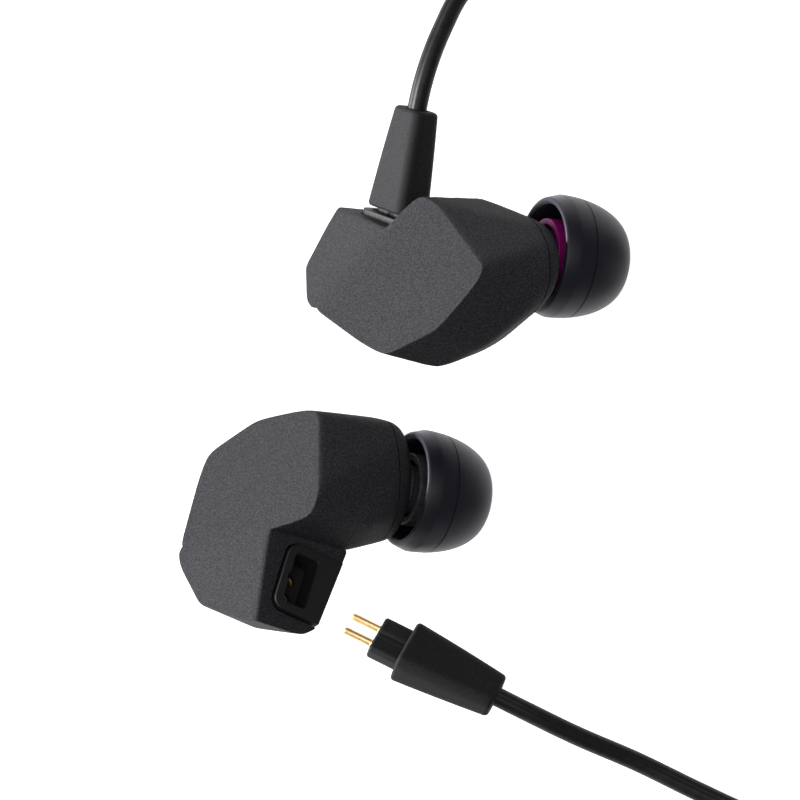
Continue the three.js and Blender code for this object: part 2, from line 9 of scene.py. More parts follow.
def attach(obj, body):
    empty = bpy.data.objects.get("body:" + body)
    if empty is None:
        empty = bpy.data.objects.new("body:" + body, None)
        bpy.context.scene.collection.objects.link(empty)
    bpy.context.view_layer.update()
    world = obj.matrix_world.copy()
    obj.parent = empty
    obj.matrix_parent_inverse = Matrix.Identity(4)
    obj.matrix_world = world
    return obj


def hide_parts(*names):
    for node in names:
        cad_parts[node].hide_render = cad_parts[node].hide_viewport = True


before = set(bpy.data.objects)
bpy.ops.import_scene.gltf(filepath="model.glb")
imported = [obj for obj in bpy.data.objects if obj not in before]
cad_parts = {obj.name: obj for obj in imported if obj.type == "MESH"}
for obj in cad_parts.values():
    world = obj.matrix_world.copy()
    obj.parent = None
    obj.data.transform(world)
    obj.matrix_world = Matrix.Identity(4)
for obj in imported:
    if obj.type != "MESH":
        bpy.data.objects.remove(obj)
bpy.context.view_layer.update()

# ---- driving dimensions
# Earpiece frame: +X runs out of the nozzle, +Z is the way the cable leaves, and the origin is
# the middle of the ear tip's widest ring. The right earpiece mirrors Y.
TIP_RADIUS = 0.00625
TIP_FRONT = 0.0052
TIP_RIM = -0.0034
TIP_WALL = 0.0007
TIP_OPENING = 0.0021
TIP_PARTING = -0.0001
TIP_FULLNESS = 0.95
CORE_RADIUS = 0.0037
CORE_BORE = 0.00305
CORE_BACK = -0.0033
NOZZLE_RADIUS = 0.00255
NOZZLE_BORE = 0.0018
NOZZLE_END = 0.0036
WAIST_X = -0.0046
SEAM_X = -0.0056
SEAM_GAP = 0.00013
COVER_END = -0.0037
SHELL_WALL = 0.001
# Ovals across the end of the body and its hollow: the middle and half-sizes in Y and Z.
WAIST_OVAL = ((0.0009, -0.001), (0.0063, 0.0045))
SLOPE_OVAL = ((0.0006, -0.0009), (0.0056, 0.0041))
END_OVAL = ((0.0004, -0.0006), (0.0045, 0.0033))
HOLLOW_START_OVAL = ((0.0009, -0.001), (0.0052, 0.0034))
HOLLOW_END_OVAL = ((0.0003, -0.0005), (0.003, 0.0022))
GAP = 0.0003
SOCKET_Z = -0.0003
STEM_SIZE = (0.0034, 0.0046)
STEM_CORNER = 0.001
COLLAR_SIZE = (0.0043, 0.0072)
COLLAR_CORNER = 0.0012
COLLAR_HEIGHT = 0.0007
COLLAR_GAP = 0.0002
SOCKET_CENTRE = (-0.0147, -0.0115)
SOCKET_TURN = math.radians(-15.7)
SOCKET_WIDTH = 0.0025
SOCKET_LENGTH = 0.0053
SOCKET_DEPTH = 0.0036
SOCKET_STEP = -0.004
BLOCK_BOTTOM = -0.0062
PLATE_LEFT = 0.00215
PLATE_END = 0.0045
PLATE_TOP = 0.0003
PLATE_HALF = 0.0036
PLATE_CORNER = 0.00015
PIN_RADIUS = 0.00039
PIN_PITCH = 0.002
PIN_LENGTH = 0.003
PIN_PLACES = [("a", -PIN_PITCH / 2), ("b", PIN_PITCH / 2)]
SHROUD_LENGTH = 0.0032
SHROUD_WIDTH = 0.0019
SHROUD_BREADTH = 0.0047
BOOT_LENGTH = 0.01065
BOOT_BASE = (0.0042, 0.0063)
BOOT_MIDDLE = (0.0039, 0.00565)
BOOT_END = (0.0033, 0.0045)
BOOT_Z = 0.00075
BRANCH_DIAMETER = 0.002
MAIN_DIAMETER = 0.0024
CORD_INSIDE = 0.0014
COIL_LIFT = 0.0009
BRANCH_COIL = Vector((0.0614, 0.0283, 0))
BRANCH_MID = 0.012
MAIN_COIL = Vector((0.0622, -0.023, 0))
MAIN_MID = 0.0144
TIE_WIDTH = 0.005
TIE_THICK = 0.00055
TIE_SLACK = 0.0007
BRANCH_TIE_ANGLE = -2.2
MAIN_TIE_ANGLE = 2.2
PAIR_X = 0.0778
PAIR_Z = 0.0022
PAIR_PITCH = 0.0023
SLIDER_Y = 0.009
SLIDER_LENGTH = 0.006
SLIDER_SIZE = (0.0072, 0.0042)
SPLIT_TOP = 0.001
SPLIT_LENGTH = 0.009
PLUG_START = Vector((0.0467, -0.0464, 0.0031))
PLUG_RADIUS = 0.003
RELIEF_LENGTH = 0.005
BARREL_LENGTH = 0.016
JACK_RADIUS = 0.00175
INSULATOR_RADIUS = 0.0017

# Corners of the big outer facet, of the small one, and of the widest contour behind them.
FACET = {
    "ridge_low": (-0.024, -0.007, -0.0094),
    "ridge_notch": (-0.018, -0.00605, -0.0003),
    "ridge_high": (-0.0152, -0.0056, 0.0037),
    "far_high": (-0.0131, 0.0075, -0.0018),
    "far_low": (-0.0166, 0.0075, -0.0075),
    "bottom": (-0.0203, 0.0044, -0.0113),
    "wing_high": (-0.01925, -0.0162, -0.0003),
    "wing_low": (-0.02285, -0.0134, -0.0064),
}
# The corners of each facet, and which point of the contour lies behind each corner of the big one.
BIG_FACET = {"ridge_low": 5, "ridge_high": 0, "far_high": 2, "far_low": 3, "bottom": 4}
SMALL_FACET = ["ridge_low", "ridge_notch", "wing_high", "wing_low"]
SHOULDER = [
    (-0.0085, -0.0057, 0.0043),
    (-0.0094, -0.0075, -0.0003),
    (-0.006, 0.0078, -0.0016),
    (-0.0112, 0.0081, -0.0084),
    (-0.0146, 0.005, -0.012),
    (-0.0175, -0.0063, -0.011),
    (-0.0092, 0.003, -0.0101),
    (-0.007, 0.0025, -0.0088),
]
# Corners of the wing behind the small facet.
WING_BACK = [
    (-0.0143, -0.017, -0.0003),
    (-0.0127, -0.0161, -0.0003),
    (-0.0094, -0.0074, -0.0003),
    (-0.0159, -0.0147, -0.0076),
    (-0.0114, -0.0074, -0.01),
]
VOXEL = 0.0002  # grid of the body's surface before it is smoothed
EDGE_SOFT = 0.0004  # rounding of the facets' edges

# Routes of the cords where they aren't coiled, from the earpieces towards the plug.
RIGHT_ROUTE = [
    (0.0011, 0.0307, 0.0071),
    (0.0016, 0.0330, 0.0074),
    (0.0025, 0.0360, 0.0072),
    (0.0037, 0.0390, 0.0064),
    (0.0058, 0.0430, 0.0048),
    (0.0097, 0.0464, 0.0030),
    (0.0157, 0.0482, 0.0016),
    (0.0232, 0.0483, 0.0011),
    (0.0322, 0.0472, 0.0011),
    (0.0412, 0.0456, 0.0023),
    (0.0492, 0.0436, 0.0047),
    (0.0552, 0.0421, 0.0061),
]
LEFT_ROUTE = [
    (0.0092, -0.0290, 0.0047),
    (0.0122, -0.0305, 0.0047),
    (0.0174, -0.0331, 0.0034),
    (0.0239, -0.0360, 0.0017),
    (0.0304, -0.0392, 0.0011),
    (0.0356, -0.0415, 0.0011),
    (0.0403, -0.0426, 0.0011),
    (0.0430, -0.0375, 0.0011),
    (0.0425, -0.0260, 0.0011),
    (0.0426, -0.0120, 0.0011),
    (0.0436, 0.0030, 0.0012),
    (0.0462, 0.0160, 0.0016),
]
RIGHT_TAIL = [
    (0.0749, 0.0240, 0.0094),
    (0.0767, 0.0188, 0.0058),
    (0.07875, 0.0148, 0.0025),
    (0.07895, 0.0124, 0.0022),
    (0.07895, 0.0060, 0.0022),
    (0.07895, 0.0005, 0.0022),
]
LEFT_TAIL = [
    (0.0744, 0.0230, 0.0035),
    (0.0752, 0.0186, 0.0028),
    (0.0765, 0.0148, 0.0023),
    (0.07665, 0.0124, 0.0022),
    (0.07665, 0.0060, 0.0022),
    (0.07665, 0.0005, 0.0022),
]
MAIN_ROUTE = [
    (0.0778, -0.0075, 0.0022),
    (0.0781, -0.0130, 0.00215),
    (0.0788, -0.0180, 0.0021),
]
MAIN_TAIL = [
    (0.0577, -0.0404, 0.0085),
    (0.0538, -0.0426, 0.0059),
    (0.0512, -0.0452, 0.0038),
    (0.0490, -0.0463, 0.0031),
    (0.0465, -0.0464, 0.0031),
]


# ---- view, light and floor
VIEW_CENTRE = (-0.0006, 0.00125)
VIEW_HEIGHT = 0.4645
VIEW_LENS = 202.5
KEY_LIGHT = {"place": (-1.0, 0.12, 0.13), "size": 0.25, "power": 37.0}
TOP_LIGHT = {"place": (-0.1, 0.1, 1.1), "size": 0.8, "power": 6.5}
ROOM_LIGHT = 0.18
FLOOR_HALF = 2.0
FLOOR_GLOW = 0.75


def camera():
    """Looks straight down on the table."""
    data = bpy.data.cameras.new("camera")
    data.sensor_width = 36
    data.lens = VIEW_LENS
    data.clip_start = 0.01
    obj = added("camera", data)
    obj.location = (*VIEW_CENTRE, VIEW_HEIGHT)
    bpy.context.scene.camera = obj


def softbox(name, place, size, power):
    """An area light that faces the earpieces."""
    data = bpy.data.lights.new(name, "AREA")
    data.shape = "RECTANGLE"
    data.size = data.size_y = size
    data.energy = power
    obj = added(name, data)
    obj.location = place
    obj.rotation_euler = (-Vector(place)).to_track_quat("-Z", "Y").to_euler()


def studio():
    """Soft light from the left and from above, over a plain pale floor that is lit from within."""
    softbox("key", **KEY_LIGHT)
    softbox("top", **TOP_LIGHT)
    world = bpy.data.worlds.new("studio")
    world.use_nodes = True
    background = world.node_tree.nodes["Background"]
    background.inputs["Color"].default_value = (1, 1, 1, 1)
    background.inputs["Strength"].default_value = ROOM_LIGHT
    bpy.context.scene.world = world
    bpy.context.scene.view_settings.view_transform = "Standard"
    corners = [(x * FLOOR_HALF, y * FLOOR_HALF, 0) for x, y in ((-1, -1), (1, -1), (1, 1), (-1, 1))]
    floor = new_object("floor", corners, [(0, 1, 2, 3)])
    look = Look("floor_paper", grey(0.86), 0.9)
    look.fixed(Specular_IOR_Level=0.1, Emission_Strength=FLOOR_GLOW, Emission_Color=(1, 1, 1, 1))
    floor.data.materials.append(look.material)


# ---- materials
class Look:
    """A Principled material whose colour, roughness and relief come from solid textures."""

    def __init__(self, name, colour, roughness, metallic=0.0):
        self.material = bpy.data.materials.new(name)
        self.material.use_nodes = True
        self.tree = self.material.node_tree
        self.shader = self.tree.nodes["Principled BSDF"]
        self.shader.inputs["Base Color"].default_value = (*colour, 1)
        self.shader.inputs["Roughness"].default_value = roughness
        self.shader.inputs["Metallic"].default_value = metallic
        self.place = self.node("ShaderNodeTexCoord", {}).outputs["Object"]
        self.relief = None

    def node(self, kind, sockets, **settings):
        made = self.tree.nodes.new(kind)
        for name, value in settings.items():
            setattr(made, name, value)
        for name, value in sockets.items():
            made.inputs[name].default_value = value
        return made

    def wire(self, source, node, socket):
        self.tree.links.new(source, node.inputs[socket])

    def texture(self, kind, output, sockets, **settings):
        made = self.node(kind, sockets, **settings)
        self.wire(self.place, made, "Vector")
        return made.outputs[output]

    def noise(self, size, detail=2.0):
        """Cloudy noise with lumps of about one size, in metres."""
        return self.texture("ShaderNodeTexNoise", "Fac", {"Scale": 1 / size, "Detail": detail})

    def cells(self, size):
        """How far a point is from the middle of its cell; the cells have about one size, in metres."""
        return self.texture("ShaderNodeTexVoronoi", "Distance", {"Scale": 1 / size})

    def bands(self, size, axis, distortion=0.0):
        """Parallel bands across an axis, one to each size, in metres."""
        sockets = {"Scale": math.pi / 10 / size, "Distortion": distortion}
        return self.texture("ShaderNodeTexWave", "Fac", sockets, wave_type="BANDS", bands_direction=axis)

    def tint(self, source, stops):
        """Colours the surface by a ramp: pairs of position and colour."""
        ramp = self.node("ShaderNodeValToRGB", {})
        elements = ramp.color_ramp.elements
        while len(elements) < len(stops):
            elements.new(0.5)
        for element, (position, colour) in zip(elements, stops):
            element.position = position
            element.color = (*colour, 1)
        self.wire(source, ramp, "Fac")
        return ramp.outputs["Color"]

    def between(self, source, dark, light):
        return self.tint(source, [(0.3, dark), (0.7, light)])

    def blend(self, factor, first, second):
        """The first colour, and the second where the factor is white."""
        made = self.node("ShaderNodeMix", {}, data_type="RGBA")
        self.wire(factor, made, "Factor")
        self.wire(first, made, 6)
        self.wire(second, made, 7)
        return made.outputs[2]

    def colour(self, source):
        self.wire(source, self.shader, "Base Color")

    def rough(self, source, low, high):
        made = self.node("ShaderNodeMapRange", {"To Min": low, "To Max": high})
        self.wire(source, made, "Value")
        self.wire(made.outputs["Result"], self.shader, "Roughness")

    def bump(self, source, depth):
        """Adds relief of one depth, in metres, on what is there."""
        made = self.node("ShaderNodeBump", {"Distance": depth})
        self.wire(source, made, "Height")
        if self.relief:
            self.wire(self.relief, made, "Normal")
        self.relief = made.outputs["Normal"]
        self.wire(self.relief, self.shader, "Normal")

    def fixed(self, **values):
        """Sets sockets of the shader that are the same all over."""
        for name, value in values.items():
            self.shader.inputs[name.replace("_", " ")].default_value = value


def grey(value, blue=0.0):
    """A grey whose blue is stronger by a share."""
    return (value, value, value * (1 + blue))


def shell_look():
    """Charcoal powder coating: fine grain and a faint sparkle."""
    look = Look("shell_coating", grey(0.02), 0.7)
    look.fixed(Specular_IOR_Level=0.12)
    grain = look.noise(0.00015, 2)
    stops = [(0.3, grey(0.008, 0.14)), (0.5, grey(0.019, 0.14)), (0.7, grey(0.036, 0.12))]
    look.colour(look.tint(grain, stops))
    look.rough(look.noise(0.0003, 2), 0.64, 0.78)
    look.bump(look.noise(0.0002, 2), 0.00001)
    look.bump(grain, 0.000014)
    return look.material


def silicone_look():
    """Satin near-black silicone with a bloom at grazing angles."""
    look = Look("tip_silicone", (0.008, 0.007, 0.011), 0.45)
    look.fixed(Specular_IOR_Level=0.3, Sheen_Weight=0.07, Sheen_Roughness=0.4,
               Sheen_Tint=(0.78, 0.74, 1.0, 1))
    look.colour(look.between(look.noise(0.0015, 3), (0.004, 0.0034, 0.0078), (0.0062, 0.0052, 0.0118)))
    look.rough(look.noise(0.0002, 3), 0.4, 0.52)
    look.bump(look.noise(0.0001, 2), 0.0000025)
    return look.material


def core_look(name, dark, light):
    """Coloured soft core of an ear tip."""
    look = Look(name, light, 0.4)
    look.fixed(Specular_IOR_Level=0.2)
    look.colour(look.between(look.noise(0.0008, 3), dark, light))
    look.rough(look.noise(0.0002), 0.34, 0.48)
    look.bump(look.noise(0.00012), 0.000003)
    return look.material


def plastic_look():
    """Moulded black plastic with a fine spark-eroded texture."""
    look = Look("plastic_black", grey(0.012), 0.5)
    look.fixed(Specular_IOR_Level=0.15)
    grain = look.noise(0.00012, 3)
    look.colour(look.between(grain, grey(0.0096, 0.1), grey(0.0162, 0.1)))
    look.rough(look.noise(0.0005), 0.46, 0.6)
    look.bump(grain, 0.000004)
    return look.material


def boot_look():
    """Matt rubbery black with a leathery grain."""
    look = Look("boot_rubber", grey(0.01), 0.7)
    look.fixed(Specular_IOR_Level=0.12)
    grain = look.noise(0.00016, 3)
    look.colour(look.between(grain, grey(0.008, 0.1), grey(0.017, 0.1)))
    look.rough(look.noise(0.0004), 0.64, 0.78)
    look.bump(look.noise(0.00035, 3), 0.00001)
    look.bump(grain, 0.000012)
    return look.material


def cord_look():
    """Satin black jacket, a little cloudy from handling."""
    look = Look("cord_jacket", grey(0.012), 0.46)
    look.fixed(Specular_IOR_Level=0.18)
    look.colour(look.between(look.noise(0.0009, 4), (0.006, 0.006, 0.007), grey(0.011)))
    look.rough(look.noise(0.0004, 3), 0.42, 0.56)
    look.bump(look.noise(0.00025, 2), 0.000004)
    return look.material


def metal_look(name, dark, light, rough):
    """Plated or turned metal with fine machining lines."""
    look = Look(name, light, rough, 1.0)
    look.colour(look.between(look.noise(0.0006, 3), dark, light))
    look.rough(look.noise(0.0002, 3), rough * 0.8, rough * 1.3)
    look.bump(look.bands(0.00006, "X", 1.5), 0.0000012)
    return look.material


def film_look():
    """Thin stiff polymer film of a driver's diaphragm."""
    look = Look("driver_film", (0.55, 0.57, 0.62), 0.25)
    look.fixed(Coat_Weight=0.4)
    look.colour(look.between(look.noise(0.0005), (0.5, 0.52, 0.56), (0.62, 0.64, 0.7)))
    look.bump(look.bands(0.0003, "Z"), 0.00001)
    return look.material


def board_look():
    """Green solder mask over copper tracks."""
    look = Look("driver_board", (0.012, 0.09, 0.035), 0.35)
    tracks = look.tint(look.bands(0.0006, "DIAGONAL", 3.0), [(0.45, grey(0)), (0.5, grey(1))])
    mask = look.between(look.noise(0.0005), (0.01, 0.075, 0.03), (0.014, 0.1, 0.04))
    track = look.between(look.noise(0.0005), (0.02, 0.16, 0.05), (0.03, 0.2, 0.06))
    look.colour(look.blend(tracks, mask, track))
    look.bump(tracks, 0.00001)
    return look.material


def strap_look():
    """Woven hook-and-loop strap with a fuzzy face."""
    look = Look("tie_weave", grey(0.018), 0.9)
    look.fixed(Specular_IOR_Level=0.2, Sheen_Weight=0.3, Sheen_Roughness=0.6)
    loops = look.cells(0.00022)
    look.colour(look.tint(loops, [(0.1, grey(0.030)), (0.8, grey(0.009))]))
    look.rough(look.noise(0.0004), 0.8, 0.98)
    look.bump(loops, 0.00006)
    look.bump(look.noise(0.00008, 3), 0.00003)
    return look.material


def all_looks():
    return {
        "shell": shell_look(),
        "silicone": silicone_look(),
        "right_core": core_look("core_magenta", (0.13, 0.001, 0.075), (0.19, 0.002, 0.11)),
        "left_core": core_look("core_grey", (0.018, 0.018, 0.02), (0.035, 0.035, 0.037)),
        "black_plastic": plastic_look(),
        "boot": boot_look(),
        "cord": cord_look(),
        "tie": strap_look(),
        "gold": metal_look("contact_gold", (0.74, 0.50, 0.22), (0.92, 0.68, 0.36), 0.42),
        "copper": metal_look("wire_copper", (0.6, 0.22, 0.10), (0.78, 0.34, 0.17), 0.3),
        "steel": metal_look("driver_steel", (0.36, 0.36, 0.38), (0.55, 0.55, 0.57), 0.32),
        "filter_mesh": metal_look("filter_steel", (0.5, 0.5, 0.5), (0.68, 0.68, 0.68), 0.3),
        "film": film_look(),
        "circuit_board": board_look(),
    }


# ---- mesh helpers
def added(name, data):
    """A new object in the scene."""
    obj = bpy.data.objects.new(name, data)
    bpy.context.collection.objects.link(obj)
    return obj


def new_object(name, vertices, faces):
    mesh = bpy.data.meshes.new(name)
    mesh.from_pydata([tuple(v) for v in vertices], [], faces)
    form = bmesh.new()
    form.from_mesh(mesh)
    bmesh.ops.recalc_face_normals(form, faces=form.faces)
    form.to_mesh(mesh)
    form.free()
    return added(name, mesh)


def loft(name, rings, loop=False):
    """Joins rings of equally many points; the ends are capped, or joined to each other in a loop."""
    count = len(rings[0])
    total = len(rings)
    faces = []
    for i in range(total if loop else total - 1):
        low, high = i * count, (i + 1) % total * count
        for k in range(count):
            after = (k + 1) % count
            faces.append((low + k, low + after, high + after, high + k))
    if not loop:
        faces.append(tuple(range(count)))
        faces.append(tuple(range((total - 1) * count, total * count)))
    return new_object(name, [point for ring in rings for point in ring], faces)


def turned(name, profile, loop=False, steps=96, flute=None):
    """Turns pairs of x and radius about the X axis; flute(x, angle) is added to the radius."""
    rings = []
    for x, radius in profile:
        ring = []
        for i in range(steps):
            angle = 2 * math.pi * i / steps
            size = radius + (flute(x, angle) if flute else 0)
            ring.append((x, size * math.cos(angle), size * math.sin(angle)))
        rings.append(ring)
    return loft(name, rings, loop)


def along_z(obj, x=0.0, y=0.0, z=0.0):
    """Turns a shape made about the X axis to stand along Z at a place."""
    obj.data.transform(Matrix.Translation((x, y, z)) @ Matrix.Rotation(-math.pi / 2, 4, "Y"))
    return obj


def arc(centre, radius, start, end, steps=6):
    """Points in the plane on an arc, from one angle in degrees to another."""
    points = []
    for i in range(steps + 1):
        angle = math.radians(start + (end - start) * i / steps)
        points.append((centre[0] + radius * math.cos(angle), centre[1] + radius * math.sin(angle)))
    return points


def outline(width, length, radius, steps=8, side=4):
    """A rounded rectangle, anticlockwise, with the same number of points for any size."""
    radius = min(radius, width / 2 - 1e-7, length / 2 - 1e-7)
    half_w, half_l = width / 2 - radius, length / 2 - radius
    middles = [(half_w, half_l), (-half_w, half_l), (-half_w, -half_l), (half_w, -half_l)]
    corners = [arc(m, radius, 90 * k, 90 * k + 90, steps) for k, m in enumerate(middles)]
    points = []
    for k, corner in enumerate(corners):
        points += corner
        start, end = Vector(corner[-1]), Vector(corners[(k + 1) % 4][0])
        points += [tuple(start.lerp(end, i / side)) for i in range(1, side)]
    return points


def level(points, z):
    return [(x, y, z) for x, y in points]


def rounded_ends(start, end, edge, steps=1):
    """Heights from one end to another, each with how far an outline there is let out or drawn in."""
    pairs = arc((-edge, start + edge), edge, -90, 0)
    pairs += [(0, start + edge + (end - start - 2 * edge) * i / steps) for i in range(1, steps)]
    return pairs + arc((-edge, end - edge), edge, 0, 90)


def bar(name, width, length, radius, z0, z1, edge):
    """A rounded bar along Z with both ends' edges rounded."""
    return loft(name, [level(outline(width + 2 * out, length + 2 * out, radius + out), z)
                       for out, z in rounded_ends(z0, z1, edge)])


def hull(name, points):
    """The convex body round some points."""
    form = bmesh.new()
    for point in points:
        form.verts.new(point)
    made = bmesh.ops.convex_hull(form, input=form.verts)
    spare = {v for v in made["geom_interior"] + made["geom_unused"] if isinstance(v, bmesh.types.BMVert)}
    bmesh.ops.delete(form, geom=list(spare), context="VERTS")
    mesh = bpy.data.meshes.new(name)
    form.to_mesh(mesh)
    form.free()
    return added(name, mesh)


def applied(obj):
    """Makes the mesh what its modifiers give."""
    bpy.context.view_layer.update()
    graph = bpy.context.evaluated_depsgraph_get()
    mesh = bpy.data.meshes.new_from_object(obj.evaluated_get(graph))
    obj.modifiers.clear()
    obj.data = mesh
    return obj


def combine(obj, others, operation):
    """Cuts the others from an object or joins them to it, and removes them."""
    for other in others:
        modifier = obj.modifiers.new("combine", "BOOLEAN")
        modifier.operation = operation
        modifier.solver = "MANIFOLD"
        modifier.object = other
        applied(obj)
        bpy.data.objects.remove(other)
    return obj


def cut(obj, *others):
    return combine(obj, others, "DIFFERENCE")


def join(obj, *others):
    return combine(obj, others, "UNION")


def copy_of(obj, name):
    twin = obj.copy()
    twin.data = obj.data.copy()
    twin.name = name
    bpy.context.collection.objects.link(twin)
    return twin


def coordinates(mesh):
    found = np.empty(3 * len(mesh.vertices))
    mesh.vertices.foreach_get("co", found)
    return found.reshape(-1, 3)


def move(obj, place):
    """Puts the mesh's vertices in new places."""
    obj.data.vertices.foreach_set("co", place.ravel())
    obj.data.update()


def relax(obj, rounds):
    """Moves every vertex halfway to the middle of its neighbours, in some rounds."""
    mesh = obj.data
    place = coordinates(mesh)
    ends = np.empty(2 * len(mesh.edges), dtype=np.int64)
    mesh.edges.foreach_get("vertices", ends)
    first, second = ends.reshape(-1, 2).T
    count = len(place)
    degree = np.bincount(first, minlength=count) + np.bincount(second, minlength=count)
    for _ in range(rounds):
        middle = np.empty_like(place)
        for axis in range(3):
            total = np.bincount(first, place[second, axis], count)
            total += np.bincount(second, place[first, axis], count)
            middle[:, axis] = total / degree
        place += 0.5 * (middle - place)
    move(obj, place)


def shade(obj, degrees=35.0):
    """Smooth shading, but for edges sharper than an angle."""
    form = bmesh.new()
    form.from_mesh(obj.data)
    bmesh.ops.remove_doubles(form, verts=form.verts, dist=1e-7)
    for face in form.faces:
        face.smooth = True
    for edge in form.edges:
        edge.smooth = len(edge.link_faces) != 2 or edge.calc_face_angle(0) < math.radians(degrees)
    form.to_mesh(obj.data)
    form.free()


def placed(obj, matrix):
    """Moves the mesh, and keeps its faces outward where it is mirrored."""
    obj.data.transform(matrix)
    if matrix.determinant() < 0:
        obj.data.flip_normals()
    return obj


def show(obj, body, slot, *nodes, degrees=35.0):
    """Shades a finished piece, gives it its look, hangs it on its body and hides the model's parts it takes
    the place of.
    """
    shade(obj, degrees)
    obj.data.materials.clear()
    obj.data.materials.append(LOOKS[slot])
    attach(obj, body)
    if nodes:
        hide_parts(*nodes)
    return obj


# ---- cords
def smoothstep(value):
    value = min(max(value, 0.0), 1.0)
    return value * value * (3 - 2 * value)


def spline(points, spacing):
    """A centripetal Catmull-Rom curve through points, sampled about every spacing."""
    points = [Vector(p) for p in points]
    ends = [2 * points[0] - points[1], *points, 2 * points[-1] - points[-2]]
    path = []
    for p0, p1, p2, p3 in zip(ends, ends[1:], ends[2:], ends[3:]):
        t1 = (p1 - p0).length ** 0.5
        t2 = t1 + (p2 - p1).length ** 0.5
        t3 = t2 + (p3 - p2).length ** 0.5
        steps = max(1, round((p2 - p1).length / spacing))
        for i in range(steps):
            t = t1 + (t2 - t1) * i / steps
            a1 = p0.lerp(p1, t / t1)
            a2 = p1.lerp(p2, (t - t1) / (t2 - t1))
            a3 = p2.lerp(p3, (t - t2) / (t3 - t2))
            b1 = a1.lerp(a2, t / t2)
            b2 = a2.lerp(a3, (t - t1) / (t3 - t1))
            path.append(b1.lerp(b2, (t - t1) / (t2 - t1)))
    return [*path, points[-1]]


def coil_turns(centre, start, keys):
    """Clockwise turns from a start angle; keys are (turn, radius, height), with soft steps between."""
    per_turn = 24
    points = []
    for i in range(round(keys[-1][0] * per_turn) + 1):
        turn = i / per_turn
        k = max(n for n in range(len(keys) - 1) if keys[n][0] <= turn + 1e-9)
        (t0, r0, z0), (t1, r1, z1) = keys[k], keys[k + 1]
        share = smoothstep((turn - t0) / (t1 - t0))
        angle = math.radians(start) - 2 * math.pi * turn
        radius = r0 + (r1 - r0) * share
        height = z0 + (z1 - z0) * share
        points.append(centre + Vector((radius * math.cos(angle), radius * math.sin(angle), height)))
    return points


def branch_keys(side):
    """Two turns wide: in along the lowest layer, up, out again, and up once more on the right."""
    outer = BRANCH_MID + BRANCH_DIAMETER / 2
    inner = BRANCH_MID - BRANCH_DIAMETER / 2
    low = COIL_LIFT + BRANCH_DIAMETER / 2
    high = low + BRANCH_DIAMETER
    if side == "left":
        return [(0, outer, low), (0.55, outer, low), (1, inner, low),
                (1.5, inner, high), (2.3, outer, high), (2.5, outer, high)]
    low += 2 * BRANCH_DIAMETER + GAP
    high = low + BRANCH_DIAMETER
    top = high + BRANCH_DIAMETER
    return [(0, outer, low), (0.55, outer, low), (1, inner, low),
            (1.4, inner, high), (2.2, outer, high), (2.7, outer, top), (3.25, outer, top)]


def main_keys():
    """Three turns wide and three layers high; each turn has a track and changes it late in the turn."""
    radii = [MAIN_MID + MAIN_DIAMETER, MAIN_MID, MAIN_MID - MAIN_DIAMETER]
    heights = [COIL_LIFT + MAIN_DIAMETER * (0.5 + layer) for layer in range(4)]
    tracks = [(r, heights[0]) for r in radii] + [(r, heights[1]) for r in reversed(radii)]
    tracks += [(r, heights[2]) for r in radii[:2]] + [(radii[1], heights[3])]
    bulge = 0.37 * MAIN_DIAMETER
    keys = []
    for turn, (here, after) in enumerate(zip(tracks, tracks[1:])):
        keys += [(turn, *here), (turn + 0.5, *here)]
        if here[0] == after[0]:
            side = bulge if here[0] > MAIN_MID else -bulge
            keys.append((turn + 0.75, here[0] + side, (here[1] + after[1]) / 2))
    turns = len(tracks) - 1
    return [*keys, (turns, *tracks[-1]), (turns + 0.25, radii[0], heights[3] - 0.0002)]


def cord_section(diameter):
    """Round, with a fine groove on both sides where the two cores meet."""
    count, width, depth = 40, 0.16, 0.09
    points = []
    for i in range(count):
        angle = 2 * math.pi * i / count
        groove = math.exp(-((math.cos(angle) / width) ** 2))
        radius = diameter / 2 * (1 - depth * groove)
        points.append((radius * math.cos(angle), radius * math.sin(angle)))
    return points


def cord(name, path, diameter, roll):
    """A tube along a path, begun inside its fitting; the roll turns its grooves, in degrees."""
    section = cord_section(diameter)
    turn = math.radians(roll)
    path = [path[0] - (path[1] - path[0]).normalized() * CORD_INSIDE, *path]
    rings = []
    for i, middle in enumerate(path):
        ahead = (path[min(i + 1, len(path) - 1)] - path[max(i - 1, 0)]).normalized()
        side = ahead.cross(Vector((0, 0, 1))).normalized()
        up = side.cross(ahead)
        right = side * math.cos(turn) + up * math.sin(turn)
        top = up * math.cos(turn) - side * math.sin(turn)
        rings.append([middle + right * x + top * y for x, y in section])
    return loft(name, rings)


def make_cords():
    right = RIGHT_ROUTE + coil_turns(BRANCH_COIL, 90, branch_keys("right")) + RIGHT_TAIL
    left = LEFT_ROUTE + coil_turns(BRANCH_COIL, 180, branch_keys("left")) + LEFT_TAIL
    main = MAIN_ROUTE + coil_turns(MAIN_COIL, 0, main_keys()) + MAIN_TAIL
    made = {}
    for name, points, diameter, roll, nodes in [
        ("right", right, BRANCH_DIAMETER, 35, ["cord_right", "coil_right", "cord_right_tail"]),
        ("left", left, BRANCH_DIAMETER, 16, ["cord_left", "coil_left", "cord_left_tail"]),
        ("main", main, MAIN_DIAMETER, 0, ["cord_main", "coil_main", "cord_main_tail"]),
    ]:
        path = spline(points, 0.001)
        obj = cord(f"cable_{name}", path, diameter, roll)
        made[name] = (show(obj, "cable", "cord", *nodes, degrees=60), path)
    return made


# ---- earpiece
def earpiece_matrix(ring, nozzle, cable, side):
    """The place of an earpiece whose nozzle and cable point in given directions."""
    x = Vector(nozzle).normalized()
    z = Vector(cable)
    z = (z - z.dot(x) * x).normalized()
    y = z.cross(x) * side
    return Matrix.Translation(ring) @ Matrix((x, y, z)).transposed().to_4x4()


